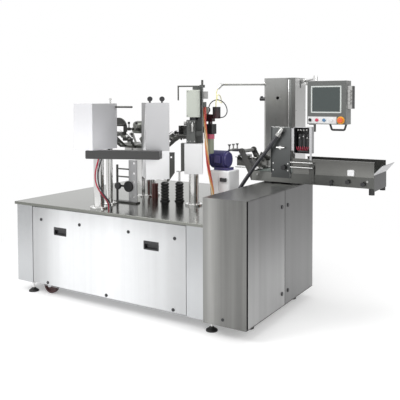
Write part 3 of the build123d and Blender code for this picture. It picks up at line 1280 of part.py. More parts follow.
CABLE_R = 15.0
HOSE_R = 5.5
TUBE_R = 4.0
BUNDLE_R = 13.0


def main_cable():
    """Thick cable from the feed plate gland down beside the cabinet."""
    start, drop = gland_place(GLAND_L)
    second = start + drop * 120
    points = [tuple(start), tuple(second), (1886, 766, 1110), (1812, 736, 990), (1752, 714, 892), (1726, 702, 820),
              (1726, 702, DECK_Z)]
    return path_tube(points, CABLE_R, "main_cable")


def red_hose():
    """Red air hose from under the crossbar down to the deck."""
    points = [(872, 52, BAR_Z1 - BAR_SHEET), (872, 52, 1160), (860, 38, 1102), (851, 30, 1043),
              (857, 26, 985), (882, 26, 930), (912, 44, 880), (932, 78, 830), (936, 92, 790),
              (936, 92, DECK_Z)]
    return path_tube(points, HOSE_R, "red_hose")


def black_hose():
    """Black air hose beside the red one."""
    points = [(892, 62, BAR_Z1 - BAR_SHEET), (892, 62, 1160), (884, 44, 1100), (878, 30, 1040),
              (886, 26, 982), (908, 28, 926), (936, 46, 872), (952, 80, 826), (954, 96, 788),
              (954, 96, DECK_Z)]
    return path_tube(points, HOSE_R, "black_hose")


def copper_bundle():
    """Bundle of copper coloured tubes beside the opener column."""
    points = [(1500, 612, MANIFOLD_Z), (1500, 612, 1480), (1510, 607, 1375), (1517, 608, 1270),
              (1522, 612, 1170), (1532, 616, 1070), (1548, 626, 970), (1560, 640, 870), (1560, 640, DECK_Z)]
    return path_tube(points, BUNDLE_R, "copper_bundle")


def loop_hose():
    """Loop of black tube from the valve block over the gauge to the coil."""
    x, y = AIR_X, AIR_Y
    points = [(x - 26, y + 14, 1500), (x - 26, y + 14, 1545), (x - 12, y + 15, 1586), (x + 22, y + 16, 1612),
              (x + 66, y + 16, 1619), (x + 110, y + 15, 1604), (x + 138, y + 14, 1572), (x + 151, y + 13, 1540),
              (x + 150, y + 12, 1511), (x + 134, y + 12, 1488), (x + 111, y + 12, 1474), (x + 86, y + 12, 1474)]
    return path_tube(points, TUBE_R, "loop_hose")


def yellow_tube():
    """Yellow air line from the boom end, over an arc down to the valves."""
    points = [(1188, 1401.5, 1745.4), (1158, 1387.3, 1708), (1160, 1376, 1662), (1196, 1340, 1626),
              (1262, 1260, 1600), (1340, 1168, 1588), (1400, 1068, 1592), (1455, 960, 1611), (1505, 862, 1640),
              (1535, 784, 1662), (1551, 734, 1656), (1558, 704, 1634), (AIR_X + 58, AIR_Y - 8, 1600),
              (AIR_X + 58, AIR_Y - 8, 1560)]
    return path_tube(points, TUBE_R, "yellow_tube")


# All named pieces


def nodes():
    door_y0 = CAB_Y0 + DOOR_FRONT_GAP
    front_door = cabinet_door(door_y0, DOOR_SPLIT_Y - DOOR_GAP / 2, door_y0 + DOOR_T / 2)
    rear_door = cabinet_door(DOOR_SPLIT_Y + DOOR_GAP / 2, CAB_Y1, CAB_Y1 - DOOR_T / 2)
    out = {
        "base_frame": base_frame(),
        "access_panel": access_panel(),
        "panel_hardware": panel_hardware(),
        "table_top": table_top(),
        "levelling_feet": levelling_feet(),
        "cabinet_shell": cabinet_shell(),
        "cabinet_door_front": front_door,
        "cabinet_door_rear": rear_door,
        "electrical_panel": electrical_panel(),
        "drive_unit": drive_unit(),
        "turret_column": turret_column(),
        "turret_rotor": turret_rotor(),
        "arm_ring_left": arm_ring(False),
        "arm_ring_right": arm_ring(True),
        "sealer_a_cover": sealer_a_cover(),
        "sealer_a_jaw_outer": jaw_outer(SEALER_A_BACK),
        "sealer_a_jaw_inner": jaw_inner(SEALER_A_BACK),
        "sealer_b_cover": sealer_b_cover(),
        "sealer_b_jaw_outer": turned(jaw_outer(SEALER_B_BACK)),
        "sealer_b_jaw_inner": turned(jaw_inner(SEALER_B_BACK)),
        "sealer_stand": sealer_stand(),
        "opener_column": opener_column(),
        "opener_slide": opener_slide(),
        "lift_rods": lift_rods(),
        "rod_boots": rod_boots(),
        "air_unit": air_unit(),
        "vacuum_unit": vacuum_unit(),
        "tower": tower(),
        "hmi_arm": hmi_arm(),
        "hmi_enclosure": hmi_enclosure(),
        "hmi_screen": hmi_screen(),
        "hmi_selector": hmi_selector(),
        "hmi_button_red": hmi_button(BUTTON_X[1], BUTTON_TRAVEL + 3),
        "hmi_button_blue": hmi_button(BUTTON_X[2], BUTTON_TRAVEL + 3),
        "hmi_button_white": hmi_button(BUTTON_X[3], BUTTON_TRAVEL + 3),
        "hmi_estop": hmi_estop(),
        "hmi_fittings": hmi_fittings(),
        "magazine_beam": group(magazine_beam(), pickup_bracket()),
        "magazine_trough": magazine_trough(),
        "magazine_belt": magazine_belt(),
        "magazine_roller_drive": roller(MAG_X0 + ROLLER_INSET),
        "magazine_roller_tail": roller(MAG_X1 - ROLLER_INSET),
        "hand_knobs": hand_knobs(),
        "feed_plate": feed_plate(),
        "clamp_lever": clamp_lever(),
        "pickup_arm": pickup_arm(),
        "main_cable": main_cable(),
        "red_hose": red_hose(),
        "black_hose": black_hose(),
        "copper_bundle": copper_bundle(),
        "loop_hose": loop_hose(),
        "yellow_tube": yellow_tube(),
    }
    number = 0
    for x, y in CASTERS:
        number += 1
        out["caster_wheel_" + str(number)] = caster_wheel(x, y)
    number = 0
    for y in (DOOR_SPLIT_Y - DOOR_GAP / 2 - LOCK_IN, DOOR_SPLIT_Y + DOOR_GAP / 2 + LOCK_IN):
        for z in LOCK_Z:
            number += 1
            out["door_lock_" + str(number)] = door_lock(y, z)
    return out


for node, shape in nodes().items():
    export_step(Pos(-MID_X, -MID_Y, 0) * shape, "parts/" + node + ".step")
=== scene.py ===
import math
import bpy
import bmesh
from mathutils import Matrix, Vector


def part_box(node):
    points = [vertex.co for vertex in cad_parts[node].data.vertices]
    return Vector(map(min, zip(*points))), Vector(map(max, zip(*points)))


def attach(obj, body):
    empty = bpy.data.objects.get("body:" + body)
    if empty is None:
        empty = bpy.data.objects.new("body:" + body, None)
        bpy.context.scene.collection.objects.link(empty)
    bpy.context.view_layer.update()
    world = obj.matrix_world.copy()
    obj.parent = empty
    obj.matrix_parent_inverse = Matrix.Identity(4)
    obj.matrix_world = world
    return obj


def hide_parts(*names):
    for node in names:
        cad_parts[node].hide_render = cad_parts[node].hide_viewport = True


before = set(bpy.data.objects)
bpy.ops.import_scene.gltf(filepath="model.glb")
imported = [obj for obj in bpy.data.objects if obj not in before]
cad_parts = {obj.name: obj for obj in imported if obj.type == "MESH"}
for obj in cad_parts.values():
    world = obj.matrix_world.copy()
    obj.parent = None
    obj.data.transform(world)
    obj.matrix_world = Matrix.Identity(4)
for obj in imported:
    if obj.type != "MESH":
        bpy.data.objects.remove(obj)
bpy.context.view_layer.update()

# Places are given in millimetres from the front left corner of the base, as
# on the machine's drawing, and turned into the frame's metres by at().

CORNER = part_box("base_frame")[0]
DECK_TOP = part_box("table_top")[1].z * 1000


def at(x, y, z):
    """Point of the drawing, in millimetres, as a vector in metres."""
    return Vector((CORNER.x + x / 1000, CORNER.y + y / 1000, z / 1000))


def node_box(name):
    """A node's corners in the drawing's millimetres."""
    low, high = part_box(name)
    off = Vector((CORNER.x, CORNER.y, 0))
    return (low - off) * 1000, (high - off) * 1000


# Camera

CAMERA_PLACE = (4047.6, -3547.3, 1619.5)
CAMERA_YAW = 31.746
CAMERA_DOWN = 2.147
CAMERA_ROLL = -0.15
CAMERA_LENS = 54.637
CAMERA_SHIFT = (-0.0048, -0.1942)


def make_camera():
    data = bpy.data.cameras.new("camera")
    data.lens = CAMERA_LENS
    data.sensor_width = 36.0
    data.shift_x, data.shift_y = CAMERA_SHIFT
    data.clip_end = 60.0
    camera = bpy.data.objects.new("camera", data)
    turn = Matrix.Rotation(math.radians(CAMERA_YAW), 4, "Z")
    turn = turn @ Matrix.Rotation(math.radians(90 - CAMERA_DOWN), 4, "X")
    turn = turn @ Matrix.Rotation(math.radians(CAMERA_ROLL), 4, "Z")
    camera.matrix_world = Matrix.Translation(at(*CAMERA_PLACE)) @ turn
    bpy.context.scene.collection.objects.link(camera)
    bpy.context.scene.camera = camera


# Floor, world and lamps

FLOOR_SIZE = 40.0
FLOOR_GREY = 0.82
FLOOR_GLOW = 0.28
FLOOR_FADE = (1.5, 3.0)
WORLD_DIFFUSE = 0.62
MIRROR_AIM = (0.75, 0.62, -0.2)
MIRROR_BRIGHT_TO, MIRROR_DIM_FROM = 0.25, 0.95
MIRROR_DIM = (0.42, 0.42, 0.41, 1)
WHITE = (1, 1, 1, 1)

# Name, place and target in metres, size in metres, power in watts
LAMPS = (
    ("key", (-2.6, -4.2, 4.2), (0, 0, 0.7), (3.4, 2.4), 175),
    ("fill", (4.4, -1.6, 2.9), (0.2, 0, 0.8), (2.6, 2.2), 60),
    ("top", (0.2, 0.6, 4.8), (0, 0, 0.8), (3.0, 3.0), 70),
)


def area_lamp(name, place, target, size, power):
    data = bpy.data.lights.new(name, "AREA")
    data.shape = "RECTANGLE"
    data.size, data.size_y = size
    data.energy = power
    lamp = bpy.data.objects.new(name, data)
    lamp.location = place
    lamp.rotation_euler = (Vector(target) - Vector(place)).to_track_quat("-Z", "Y").to_euler()
    bpy.context.scene.collection.objects.link(lamp)


def seen_directly(nodes):
    """One where the camera, a mirror or glass looks, and zero for soft light."""
    path = nodes.new("ShaderNodeLightPath")
    first = nodes.new("ShaderNodeMath")
    first.operation = "MAXIMUM"
    second = nodes.new("ShaderNodeMath")
    second.operation = "MAXIMUM"
    links = nodes.id_data.links
    links.new(path.outputs["Is Camera Ray"], first.inputs[0])
    links.new(path.outputs["Is Glossy Ray"], first.inputs[1])
    links.new(first.outputs[0], second.inputs[0])
    links.new(path.outputs["Is Transmission Ray"], second.inputs[1])
    return second.outputs[0], path


def make_world():
    """White backdrop; polished metal sees it dimmer towards the back right."""
    world = bpy.data.worlds.new("studio")
    bpy.context.scene.world = world
    world.use_nodes = True
    nodes, links = world.node_tree.nodes, world.node_tree.links
    nodes.clear()
    out = nodes.new("ShaderNodeOutputWorld")
    soft = nodes.new("ShaderNodeBackground")
    soft.inputs["Color"].default_value = WHITE
    soft.inputs["Strength"].default_value = WORLD_DIFFUSE
    white = nodes.new("ShaderNodeBackground")
    white.inputs["Color"].default_value = WHITE
    mirror = nodes.new("ShaderNodeBackground")
    place = nodes.new("ShaderNodeTexCoord")
    aim = nodes.new("ShaderNodeVectorMath")
    aim.operation = "DOT_PRODUCT"
    aim.inputs[1].default_value = MIRROR_AIM
    links.new(place.outputs["Generated"], aim.inputs[0])
    ramp = nodes.new("ShaderNodeValToRGB")
    ramp.color_ramp.interpolation = "EASE"
    bright, dim = ramp.color_ramp.elements[0], ramp.color_ramp.elements[1]
    bright.position, bright.color = MIRROR_BRIGHT_TO, WHITE
    dim.position, dim.color = MIRROR_DIM_FROM, MIRROR_DIM
    links.new(aim.outputs["Value"], ramp.inputs["Fac"])
    links.new(ramp.outputs["Color"], mirror.inputs["Color"])
    seen, path = seen_directly(nodes)
    pick = nodes.new("ShaderNodeMixShader")
    links.new(seen, pick.inputs["Fac"])
    links.new(soft.outputs[0], pick.inputs[1])
    pick_mirror = nodes.new("ShaderNodeMixShader")
    links.new(path.outputs["Is Glossy Ray"], pick_mirror.inputs["Fac"])
    links.new(white.outputs[0], pick_mirror.inputs[1])
    links.new(mirror.outputs[0], pick_mirror.inputs[2])
    links.new(pick_mirror.outputs[0], pick.inputs[2])
    links.new(pick.outputs[0], out.inputs["Surface"])


def make_floor():
    """Matt floor that turns white away from the machine, for the camera alone."""
    bpy.ops.mesh.primitive_plane_add(size=FLOOR_SIZE, location=(0, 0, 0))
    floor = bpy.context.object
    floor.name = "floor"
    material = bpy.data.materials.new("floor")
    material.use_nodes = True
    nodes, links = material.node_tree.nodes, material.node_tree.links
    nodes.clear()
    out = nodes.new("ShaderNodeOutputMaterial")
    matt = nodes.new("ShaderNodeBsdfDiffuse")
    matt.inputs["Color"].default_value = (FLOOR_GREY, FLOOR_GREY, FLOOR_GREY, 1)
    glow = nodes.new("ShaderNodeEmission")
    glow.inputs["Strength"].default_value = FLOOR_GLOW
    both = nodes.new("ShaderNodeAddShader")
    seen, path = seen_directly(nodes)
    pick = nodes.new("ShaderNodeMixShader")
    links.new(matt.outputs[0], both.inputs[0])
    links.new(glow.outputs[0], both.inputs[1])
    links.new(seen, pick.inputs["Fac"])
    links.new(matt.outputs[0], pick.inputs[1])
    links.new(both.outputs[0], pick.inputs[2])
    white = nodes.new("ShaderNodeEmission")
    place = nodes.new("ShaderNodeTexCoord")
    reach = nodes.new("ShaderNodeVectorMath")
    reach.operation = "LENGTH"
    links.new(place.outputs["Object"], reach.inputs[0])
    far = nodes.new("ShaderNodeMapRange")
    far.inputs["From Min"].default_value, far.inputs["From Max"].default_value = FLOOR_FADE
    links.new(reach.outputs["Value"], far.inputs["Value"])
    away = math_node(nodes, "MULTIPLY", far.outputs["Result"], path.outputs["Is Camera Ray"])
    last = nodes.new("ShaderNodeMixShader")
    links.new(away, last.inputs["Fac"])
    links.new(pick.outputs[0], last.inputs[1])
    links.new(white.outputs[0], last.inputs[2])
    links.new(last.outputs[0], out.inputs["Surface"])
    floor.data.materials.append(material)


def make_studio():
    make_camera()
    make_world()
    make_floor()
    for lamp in LAMPS:
        area_lamp(*lamp)
    bpy.context.scene.view_settings.view_transform = "Standard"


# Shared surface effects

def new_group(name, sockets):
    """Empty shader group with named inputs and outputs."""
    group = bpy.data.node_groups.new(name, "ShaderNodeTree")
    for label, way, kind, value in sockets:
        socket = group.interface.new_socket(name=label, in_out=way, socket_type="NodeSocket" + kind)
        if value is not None:
            socket.default_value = value
    return group, group.nodes.new("NodeGroupInput"), group.nodes.new("NodeGroupOutput")


def math_node(nodes, kind, a, b=None):
    node = nodes.new("ShaderNodeMath")
    node.operation = kind
    for k, value in enumerate((a, b)):
        if value is None:
            continue
        if isinstance(value, (int, float)):
            node.inputs[k].default_value = value
        else:
            nodes.id_data.links.new(value, node.inputs[k])
    return node.outputs[0]


def grain_group():
    """Brushed lines: a mask, a roughness offset and a fine normal."""
    group, given, out = new_group("brushed grain", (
        ("Vector", "INPUT", "Vector", None), ("Depth", "INPUT", "Float", 0.1),
        ("Lines", "OUTPUT", "Float", None), ("Cloud", "OUTPUT", "Float", None),
        ("Normal", "OUTPUT", "Vector", None)))
    nodes, links = group.nodes, group.links
    lines = nodes.new("ShaderNodeTexNoise")
    lines.inputs["Scale"].default_value = 1.0
    lines.inputs["Detail"].default_value = 4.0
    lines.inputs["Roughness"].default_value = 0.7
    cloud = nodes.new("ShaderNodeTexNoise")
    cloud.inputs["Scale"].default_value = 0.02
    cloud.inputs["Detail"].default_value = 2.0
    bump = nodes.new("ShaderNodeBump")
    bump.inputs["Distance"].default_value = 0.001
    links.new(given.outputs["Vector"], lines.inputs["Vector"])
    links.new(given.outputs["Vector"], cloud.inputs["Vector"])
    links.new(lines.outputs["Fac"], bump.inputs["Height"])
    links.new(given.outputs["Depth"], bump.inputs["Strength"])
    links.new(lines.outputs["Fac"], out.inputs["Lines"])
    links.new(cloud.outputs["Fac"], out.inputs["Cloud"])
    links.new(bump.outputs["Normal"], out.inputs["Normal"])
    return group


def handling_group():
    """Finger marks and faint stains: a soft mask in a few sizes."""
    group, given, out = new_group("handling marks", (
        ("Vector", "INPUT", "Vector", None), ("Amount", "INPUT", "Float", 0.1),
        ("Mask", "OUTPUT", "Float", None)))
    nodes, links = group.nodes, group.links
    wide = nodes.new("ShaderNodeTexNoise")
    wide.inputs["Scale"].default_value = 2.4
    wide.inputs["Detail"].default_value = 3.0
    wide.inputs["Distortion"].default_value = 0.6
    close = nodes.new("ShaderNodeTexNoise")
    close.inputs["Scale"].default_value = 19.0
    close.inputs["Detail"].default_value = 4.0
    links.new(given.outputs["Vector"], wide.inputs["Vector"])
    links.new(given.outputs["Vector"], close.inputs["Vector"])
    both = math_node(nodes, "MULTIPLY", wide.outputs["Fac"], close.outputs["Fac"])
    sized = math_node(nodes, "MULTIPLY", both, given.outputs["Amount"])
    links.new(sized, out.inputs["Mask"])
    return group


def speckle_group():
    """Fine moulded or cast texture: a mask and its normal."""
    group, given, out = new_group("fine texture", (
        ("Vector", "INPUT", "Vector", None), ("Size", "INPUT", "Float", 400.0),
        ("Depth", "INPUT", "Float", 0.1), ("Mask", "OUTPUT", "Float", None),
        ("Normal", "OUTPUT", "Vector", None)))
    nodes, links = group.nodes, group.links
    noise = nodes.new("ShaderNodeTexNoise")
    noise.inputs["Detail"].default_value = 3.0
    bump = nodes.new("ShaderNodeBump")
    bump.inputs["Distance"].default_value = 0.0006
    links.new(given.outputs["Vector"], noise.inputs["Vector"])
    links.new(given.outputs["Size"], noise.inputs["Scale"])
    links.new(noise.outputs["Fac"], bump.inputs["Height"])
    links.new(given.outputs["Depth"], bump.inputs["Strength"])
    links.new(noise.outputs["Fac"], out.inputs["Mask"])
    links.new(bump.outputs["Normal"], out.inputs["Normal"])
    return group


GRAIN = grain_group()
HANDLING = handling_group()
SPECKLE = speckle_group()
ALONG = {"X": (1.5, 900.0, 900.0), "Y": (900.0, 1.5, 900.0), "Z": (900.0, 900.0, 1.5)}


def new_material(name):
    material = bpy.data.materials.new(name)
    material.use_nodes = True
    nodes = material.node_tree.nodes
    nodes.clear()
    out = nodes.new("ShaderNodeOutputMaterial")
    shader = nodes.new("ShaderNodeBsdfPrincipled")
    material.node_tree.links.new(shader.outputs[0], out.inputs["Surface"])
    return material, shader


def place_group(nodes, group, **values):
    node = nodes.new("ShaderNodeGroup")
    node.node_tree = group
    for label, value in values.items():
        node.inputs[label].default_value = value
    return node


def shade_between(nodes, mask, dark, light):
    """Colour that goes from dark to light with a mask."""
    mix = nodes.new("ShaderNodeMix")
    mix.data_type = "RGBA"
    mix.inputs["A"].default_value = (*dark, 1)
    mix.inputs["B"].default_value = (*light, 1)
    nodes.id_data.links.new(mask, mix.inputs["Factor"])
    return mix.outputs["Result"]


def scaled(colour, k):
    return tuple(min(1.0, c * k) for c in colour)


def painted_light_ramp(nodes, coord, colour, axis, start, end, first, last):
    """Colour that is scaled from one strength to another along an axis of the drawing: painted shade and
    painted reflection.
    """
    apart = nodes.new("ShaderNodeSeparateXYZ")
    span = nodes.new("ShaderNodeMapRange")
    span.interpolation_type = "SMOOTHSTEP"
    corner = {"X": CORNER.x, "Y": CORNER.y, "Z": 0.0}[axis]
    for label, value in (("From Min", corner + start / 1000), ("From Max", corner + end / 1000),
                         ("To Min", first), ("To Max", last)):
        span.inputs[label].default_value = value
    grow = nodes.new("ShaderNodeVectorMath")
    grow.operation = "SCALE"
    links = nodes.id_data.links
    links.new(coord.outputs["Object"], apart.inputs[0])
    links.new(apart.outputs[axis], span.inputs["Value"])
    links.new(colour, grow.inputs[0])
    links.new(span.outputs["Result"], grow.inputs["Scale"])
    return grow.outputs[0]


def streaks(nodes, coord, colour, amount):
    """Colour with wide upright streaks, as soft reflections give on brushed sheet."""
    stretch = nodes.new("ShaderNodeMapping")
    stretch.inputs["Scale"].default_value = (9.0, 9.0, 0.25)
    noise = nodes.new("ShaderNodeTexNoise")
    noise.inputs["Scale"].default_value = 1.0
    noise.inputs["Detail"].default_value = 3.0
    span = nodes.new("ShaderNodeMapRange")
    for label, value in (("From Min", 0.3), ("From Max", 0.7),
                         ("To Min", 1 - amount), ("To Max", 1 + amount)):
        span.inputs[label].default_value = value
    grow = nodes.new("ShaderNodeVectorMath")
    grow.operation = "SCALE"
    links = nodes.id_data.links
    links.new(coord.outputs["Object"], stretch.inputs["Vector"])
    links.new(stretch.outputs[0], noise.inputs["Vector"])
    links.new(noise.outputs["Fac"], span.inputs["Value"])
    links.new(colour, grow.inputs[0])
    links.new(span.outputs["Result"], grow.inputs["Scale"])
    return grow.outputs[0]


def brushed(name, colour, rough, along, contrast=0.06, depth=0.08, painted_light_ramps=(), streak=0.0, metal=1.0):
    """Sheet steel brushed along one axis, with hand marks, and with painted shade and painted reflections:
    colour ramps along the drawing's axes and upright streaks.
    """
    material, shader = new_material(name)
    nodes, links = material.node_tree.nodes, material.node_tree.links
    coord = nodes.new("ShaderNodeTexCoord")
    stretch = nodes.new("ShaderNodeMapping")
    stretch.inputs["Scale"].default_value = ALONG[along]
    links.new(coord.outputs["Object"], stretch.inputs["Vector"])
    grain = place_group(nodes, GRAIN, Depth=depth)
    links.new(stretch.outputs[0], grain.inputs["Vector"])
    marks = place_group(nodes, HANDLING, Amount=0.5)
    links.new(coord.outputs["Object"], marks.inputs["Vector"])
    mask = math_node(nodes, "ADD", grain.outputs["Lines"], marks.outputs["Mask"])
    mask = math_node(nodes, "SUBTRACT", mask, 0.12)
    tint = shade_between(nodes, mask, scaled(colour, 1 - contrast * 2), scaled(colour, 1 + contrast))
    # Ramps along the drawing's axes: painted shade and painted reflection.
    for run in painted_light_ramps:
        tint = painted_light_ramp(nodes, coord, tint, *run)
    if streak:
        tint = streaks(nodes, coord, tint, streak)
    links.new(tint, shader.inputs["Base Color"])
    spread = math_node(nodes, "MULTIPLY", mask, 0.12)
    links.new(math_node(nodes, "ADD", spread, rough - 0.05), shader.inputs["Roughness"])
    links.new(grain.outputs["Normal"], shader.inputs["Normal"])
    shader.inputs["Metallic"].default_value = metal
    return material


def solid_finish(name, colour, rough, metallic=0.0, coat=0.0, size=400.0, depth=0.1, contrast=0.08):
    """Moulded, painted, cast or machined surface with a fine texture."""
    material, shader = new_material(name)
    nodes, links = material.node_tree.nodes, material.node_tree.links
    coord = nodes.new("ShaderNodeTexCoord")
    fine = place_group(nodes, SPECKLE, Size=size, Depth=depth)
    marks = place_group(nodes, HANDLING, Amount=0.7)
    links.new(coord.outputs["Object"], fine.inputs["Vector"])
    links.new(coord.outputs["Object"], marks.inputs["Vector"])
    mask = math_node(nodes, "ADD", fine.outputs["Mask"], marks.outputs["Mask"])
    mask = math_node(nodes, "MULTIPLY", mask, 0.8)
    tint = shade_between(nodes, mask, scaled(colour, 1 - contrast), scaled(colour, 1 + contrast))
    links.new(tint, shader.inputs["Base Color"])
    spread = math_node(nodes, "MULTIPLY", mask, 0.14)
    links.new(math_node(nodes, "ADD", spread, rough - 0.06), shader.inputs["Roughness"])
    links.new(fine.outputs["Normal"], shader.inputs["Normal"])
    shader.inputs["Metallic"].default_value = metallic
    shader.inputs["Coat Weight"].default_value = coat
    return material


CABINET_LOW, CABINET_HIGH = node_box("cabinet_shell")

# Colour ramps along the drawing's axes in these finishes are painted shade and painted reflection: darker
# ends and tops, lighter lower parts.
FINISH = {
    "panel": brushed("front panel steel", (0.80, 0.81, 0.82), 0.34, "Z", streak=0.05, painted_light_ramps=(
        ("X", 170, 620, 0.60, 1.0), ("X", 1120, 1700, 1.0, 0.66), ("Z", 560, 740, 1.0, 0.86))),
    "frame": brushed("base frame steel", (0.52, 0.53, 0.54), 0.33, "Z", painted_light_ramps=(("Z", 250, 700, 1.0, 0.8),)),
    "deck": brushed("deck plate steel", (0.21, 0.215, 0.197), 0.16, "X", 0.05, 0.03),
    "cabinet": brushed("cabinet steel", (0.30, 0.30, 0.29), 0.30, "Z", streak=0.40,
                       painted_light_ramps=(("X", CABINET_LOW.x, CABINET_HIGH.x - 20, 0.92, 0.62),)),
    # Darker copy of the cabinet steel on upward faces: painted shade on the cabinet's top.
    "cabinet_shaded_top": brushed("cabinet steel with painted shaded top", (0.12, 0.12, 0.117), 0.30, "Y"),
    "door": brushed("cabinet door steel", (0.34, 0.34, 0.34), 0.34, "Z", streak=0.10,
                    painted_light_ramps=(("Z", 150, 850, 1.22, 0.55),)),
    # The rear door is the front door's steel with a darker painted shade ramp.
    "door_rear": brushed("rear door steel", (0.34, 0.34, 0.34), 0.34, "Z", streak=0.08,
                         painted_light_ramps=(("Z", 150, 950, 0.74, 0.53),)),
    "cover": brushed("sealer cover steel", (0.78, 0.78, 0.80), 0.40, "Z", 0.03, 0.04,
                     painted_light_ramps=(("Z", 1240, 1590, 1.12, 0.88),), metal=0.55),
    "cover_b": brushed("second sealer steel", (0.53, 0.53, 0.54), 0.42, "Z", 0.03, 0.04),
    # Darker copy of the second sealer's steel: painted shade on its left side.
    "cover_shaded_side": brushed("cover steel with painted shaded side", (0.27, 0.27, 0.275), 0.42, "Z", 0.03, 0.04),
    "cover_low": brushed("lower box steel", (0.90, 0.90, 0.91), 0.40, "Z", 0.03, 0.04),
    "bar": brushed("crossbar steel", (0.095, 0.095, 0.095), 0.34, "X"),
    "tower": brushed("tower front steel", (0.27, 0.272, 0.265), 0.28, "Z",
                     painted_light_ramps=(("Z", 1150, 1500, 1.7, 1.0), ("X", 1790, 1860, 1.0, 0.62))),
    # Much lighter copy of the tower steel: painted light on the tower's right side.
    "tower_lit_side": brushed("tower steel with painted lit side", (0.80, 0.80, 0.80), 0.30, "Z"),
    # Lighter copy of the tower steel for its front chamfer: painted highlight.
    "tower_chamfer_highlight": brushed("tower steel with painted chamfer highlight", (0.30, 0.30, 0.29), 0.26, "Z"),
    "beam": brushed("magazine steel", (0.135, 0.137, 0.13), 0.30, "X", painted_light_ramps=(("X", 1950, 2350, 1.6, 1.0),)),
    "trough": brushed("trough steel", (0.20, 0.20, 0.19), 0.28, "X", painted_light_ramps=(("Z", 1040, 1157, 1.25, 0.8),)),
    "plate": brushed("feed plate steel", (0.115, 0.12, 0.12), 0.30, "Z",
                     painted_light_ramps=(("Z", 1000, 1405, 0.8, 1.35),)),
    "polished": brushed("polished round steel", (0.74, 0.74, 0.73), 0.12, "Z", 0.03, 0.02),
    "machined": solid_finish("machined aluminium", (0.42, 0.42, 0.41), 0.30, 1.0, size=900.0, depth=0.08),
    "arm": solid_finish("dark machined steel", (0.15, 0.155, 0.14), 0.38, 1.0, size=700.0, depth=0.15),
    "cast": solid_finish("cast grey", (0.10, 0.10, 0.095), 0.40, 0.7, size=260.0, depth=0.25),
    "slate": solid_finish("slate grey enamel", (0.115, 0.12, 0.115), 0.38, 0.3, 0.1, size=500.0),
    "head": solid_finish("pale green enamel", (0.56, 0.59, 0.53), 0.36, 0.0, 0.2),
    "white": solid_finish("white enamel", (0.92, 0.92, 0.93), 0.32, 0.0, 0.3),
    "black": solid_finish("black moulded plastic", (0.018, 0.018, 0.02), 0.36, 0.0, 0.1, size=700.0),
    "maroon": solid_finish("maroon black plastic", (0.035, 0.008, 0.012), 0.28, 0.0, 0.4, size=500.0),
    "brown": solid_finish("brown red lacquer", (0.10, 0.025, 0.02), 0.20, 0.2, 0.6, size=300.0),
    "bowl": solid_finish("green grey bowl", (0.27, 0.30, 0.22), 0.16, 0.0, 0.8, size=120.0, depth=0.03),
    "ring": solid_finish("clamp ring red", (0.58, 0.10, 0.17), 0.32, 0.0, 0.3),
    "rubber": solid_finish("black rubber", (0.016, 0.016, 0.016), 0.38, size=500.0, depth=0.15),
    "hose_black": solid_finish("black hose", (0.02, 0.02, 0.025), 0.28, size=500.0, depth=0.05),
    "hose_red": solid_finish("red hose", (0.42, 0.02, 0.05), 0.3, size=500.0, depth=0.05),
    "amber": solid_finish("amber tube", (0.72, 0.40, 0.14), 0.3, size=300.0, depth=0.1),
    "orange": solid_finish("orange red tube", (0.68, 0.17, 0.08), 0.3, size=300.0, depth=0.1),
    "pale_tube": solid_finish("pale tube", (0.80, 0.70, 0.52), 0.3, size=300.0, depth=0.1),
    "yellow": solid_finish("yellow air tube", (0.86, 0.80, 0.34), 0.3, size=300.0, depth=0.05),
    "blue": solid_finish("violet blue enamel", (0.055, 0.05, 0.17), 0.30, 0.0, 0.4, size=300.0),
    "belt": solid_finish("conveyor belt", (0.07, 0.09, 0.08), 0.5, size=800.0, depth=0.2),
    "hmi": solid_finish("panel grey enamel", (0.11, 0.115, 0.11), 0.4, 0.0, 0.1, size=600.0),
    # Lighter copy of the panel grey enamel: painted light on the operator panel's right side; also used on a
    # band of the electrical panel.
    "hmi_side": solid_finish("panel side enamel", (0.22, 0.225, 0.22), 0.4, 0.2, 0.1, size=600.0),
    "bezel": solid_finish("pale screen rim", (0.60, 0.63, 0.61), 0.34, 0.0, 0.2),
    "screen": solid_finish("screen glass", (0.034, 0.048, 0.046), 0.16, 0.0, 0.6, size=60.0, depth=0.0),
    "stop": solid_finish("stop button red", (0.80, 0.12, 0.03), 0.3, 0.0, 0.4),
    "stop_ring": solid_finish("stop ring yellow", (0.85, 0.42, 0.04), 0.34, 0.0, 0.2),
    "cap_red": solid_finish("button red", (0.55, 0.03, 0.08), 0.3, 0.0, 0.4),
    "cap_blue": solid_finish("button blue", (0.08, 0.20, 0.36), 0.3, 0.0, 0.4),
    "cap_white": solid_finish("button white", (0.78, 0.78, 0.78), 0.3, 0.0, 0.4),
    "dial": solid_finish("bare dial face", (0.55, 0.56, 0.55), 0.2, 0.0, 0.5, size=80.0, depth=0.0),
    "tyre": solid_finish("caster tread", (0.05, 0.015, 0.015), 0.5, size=300.0, depth=0.2),
}

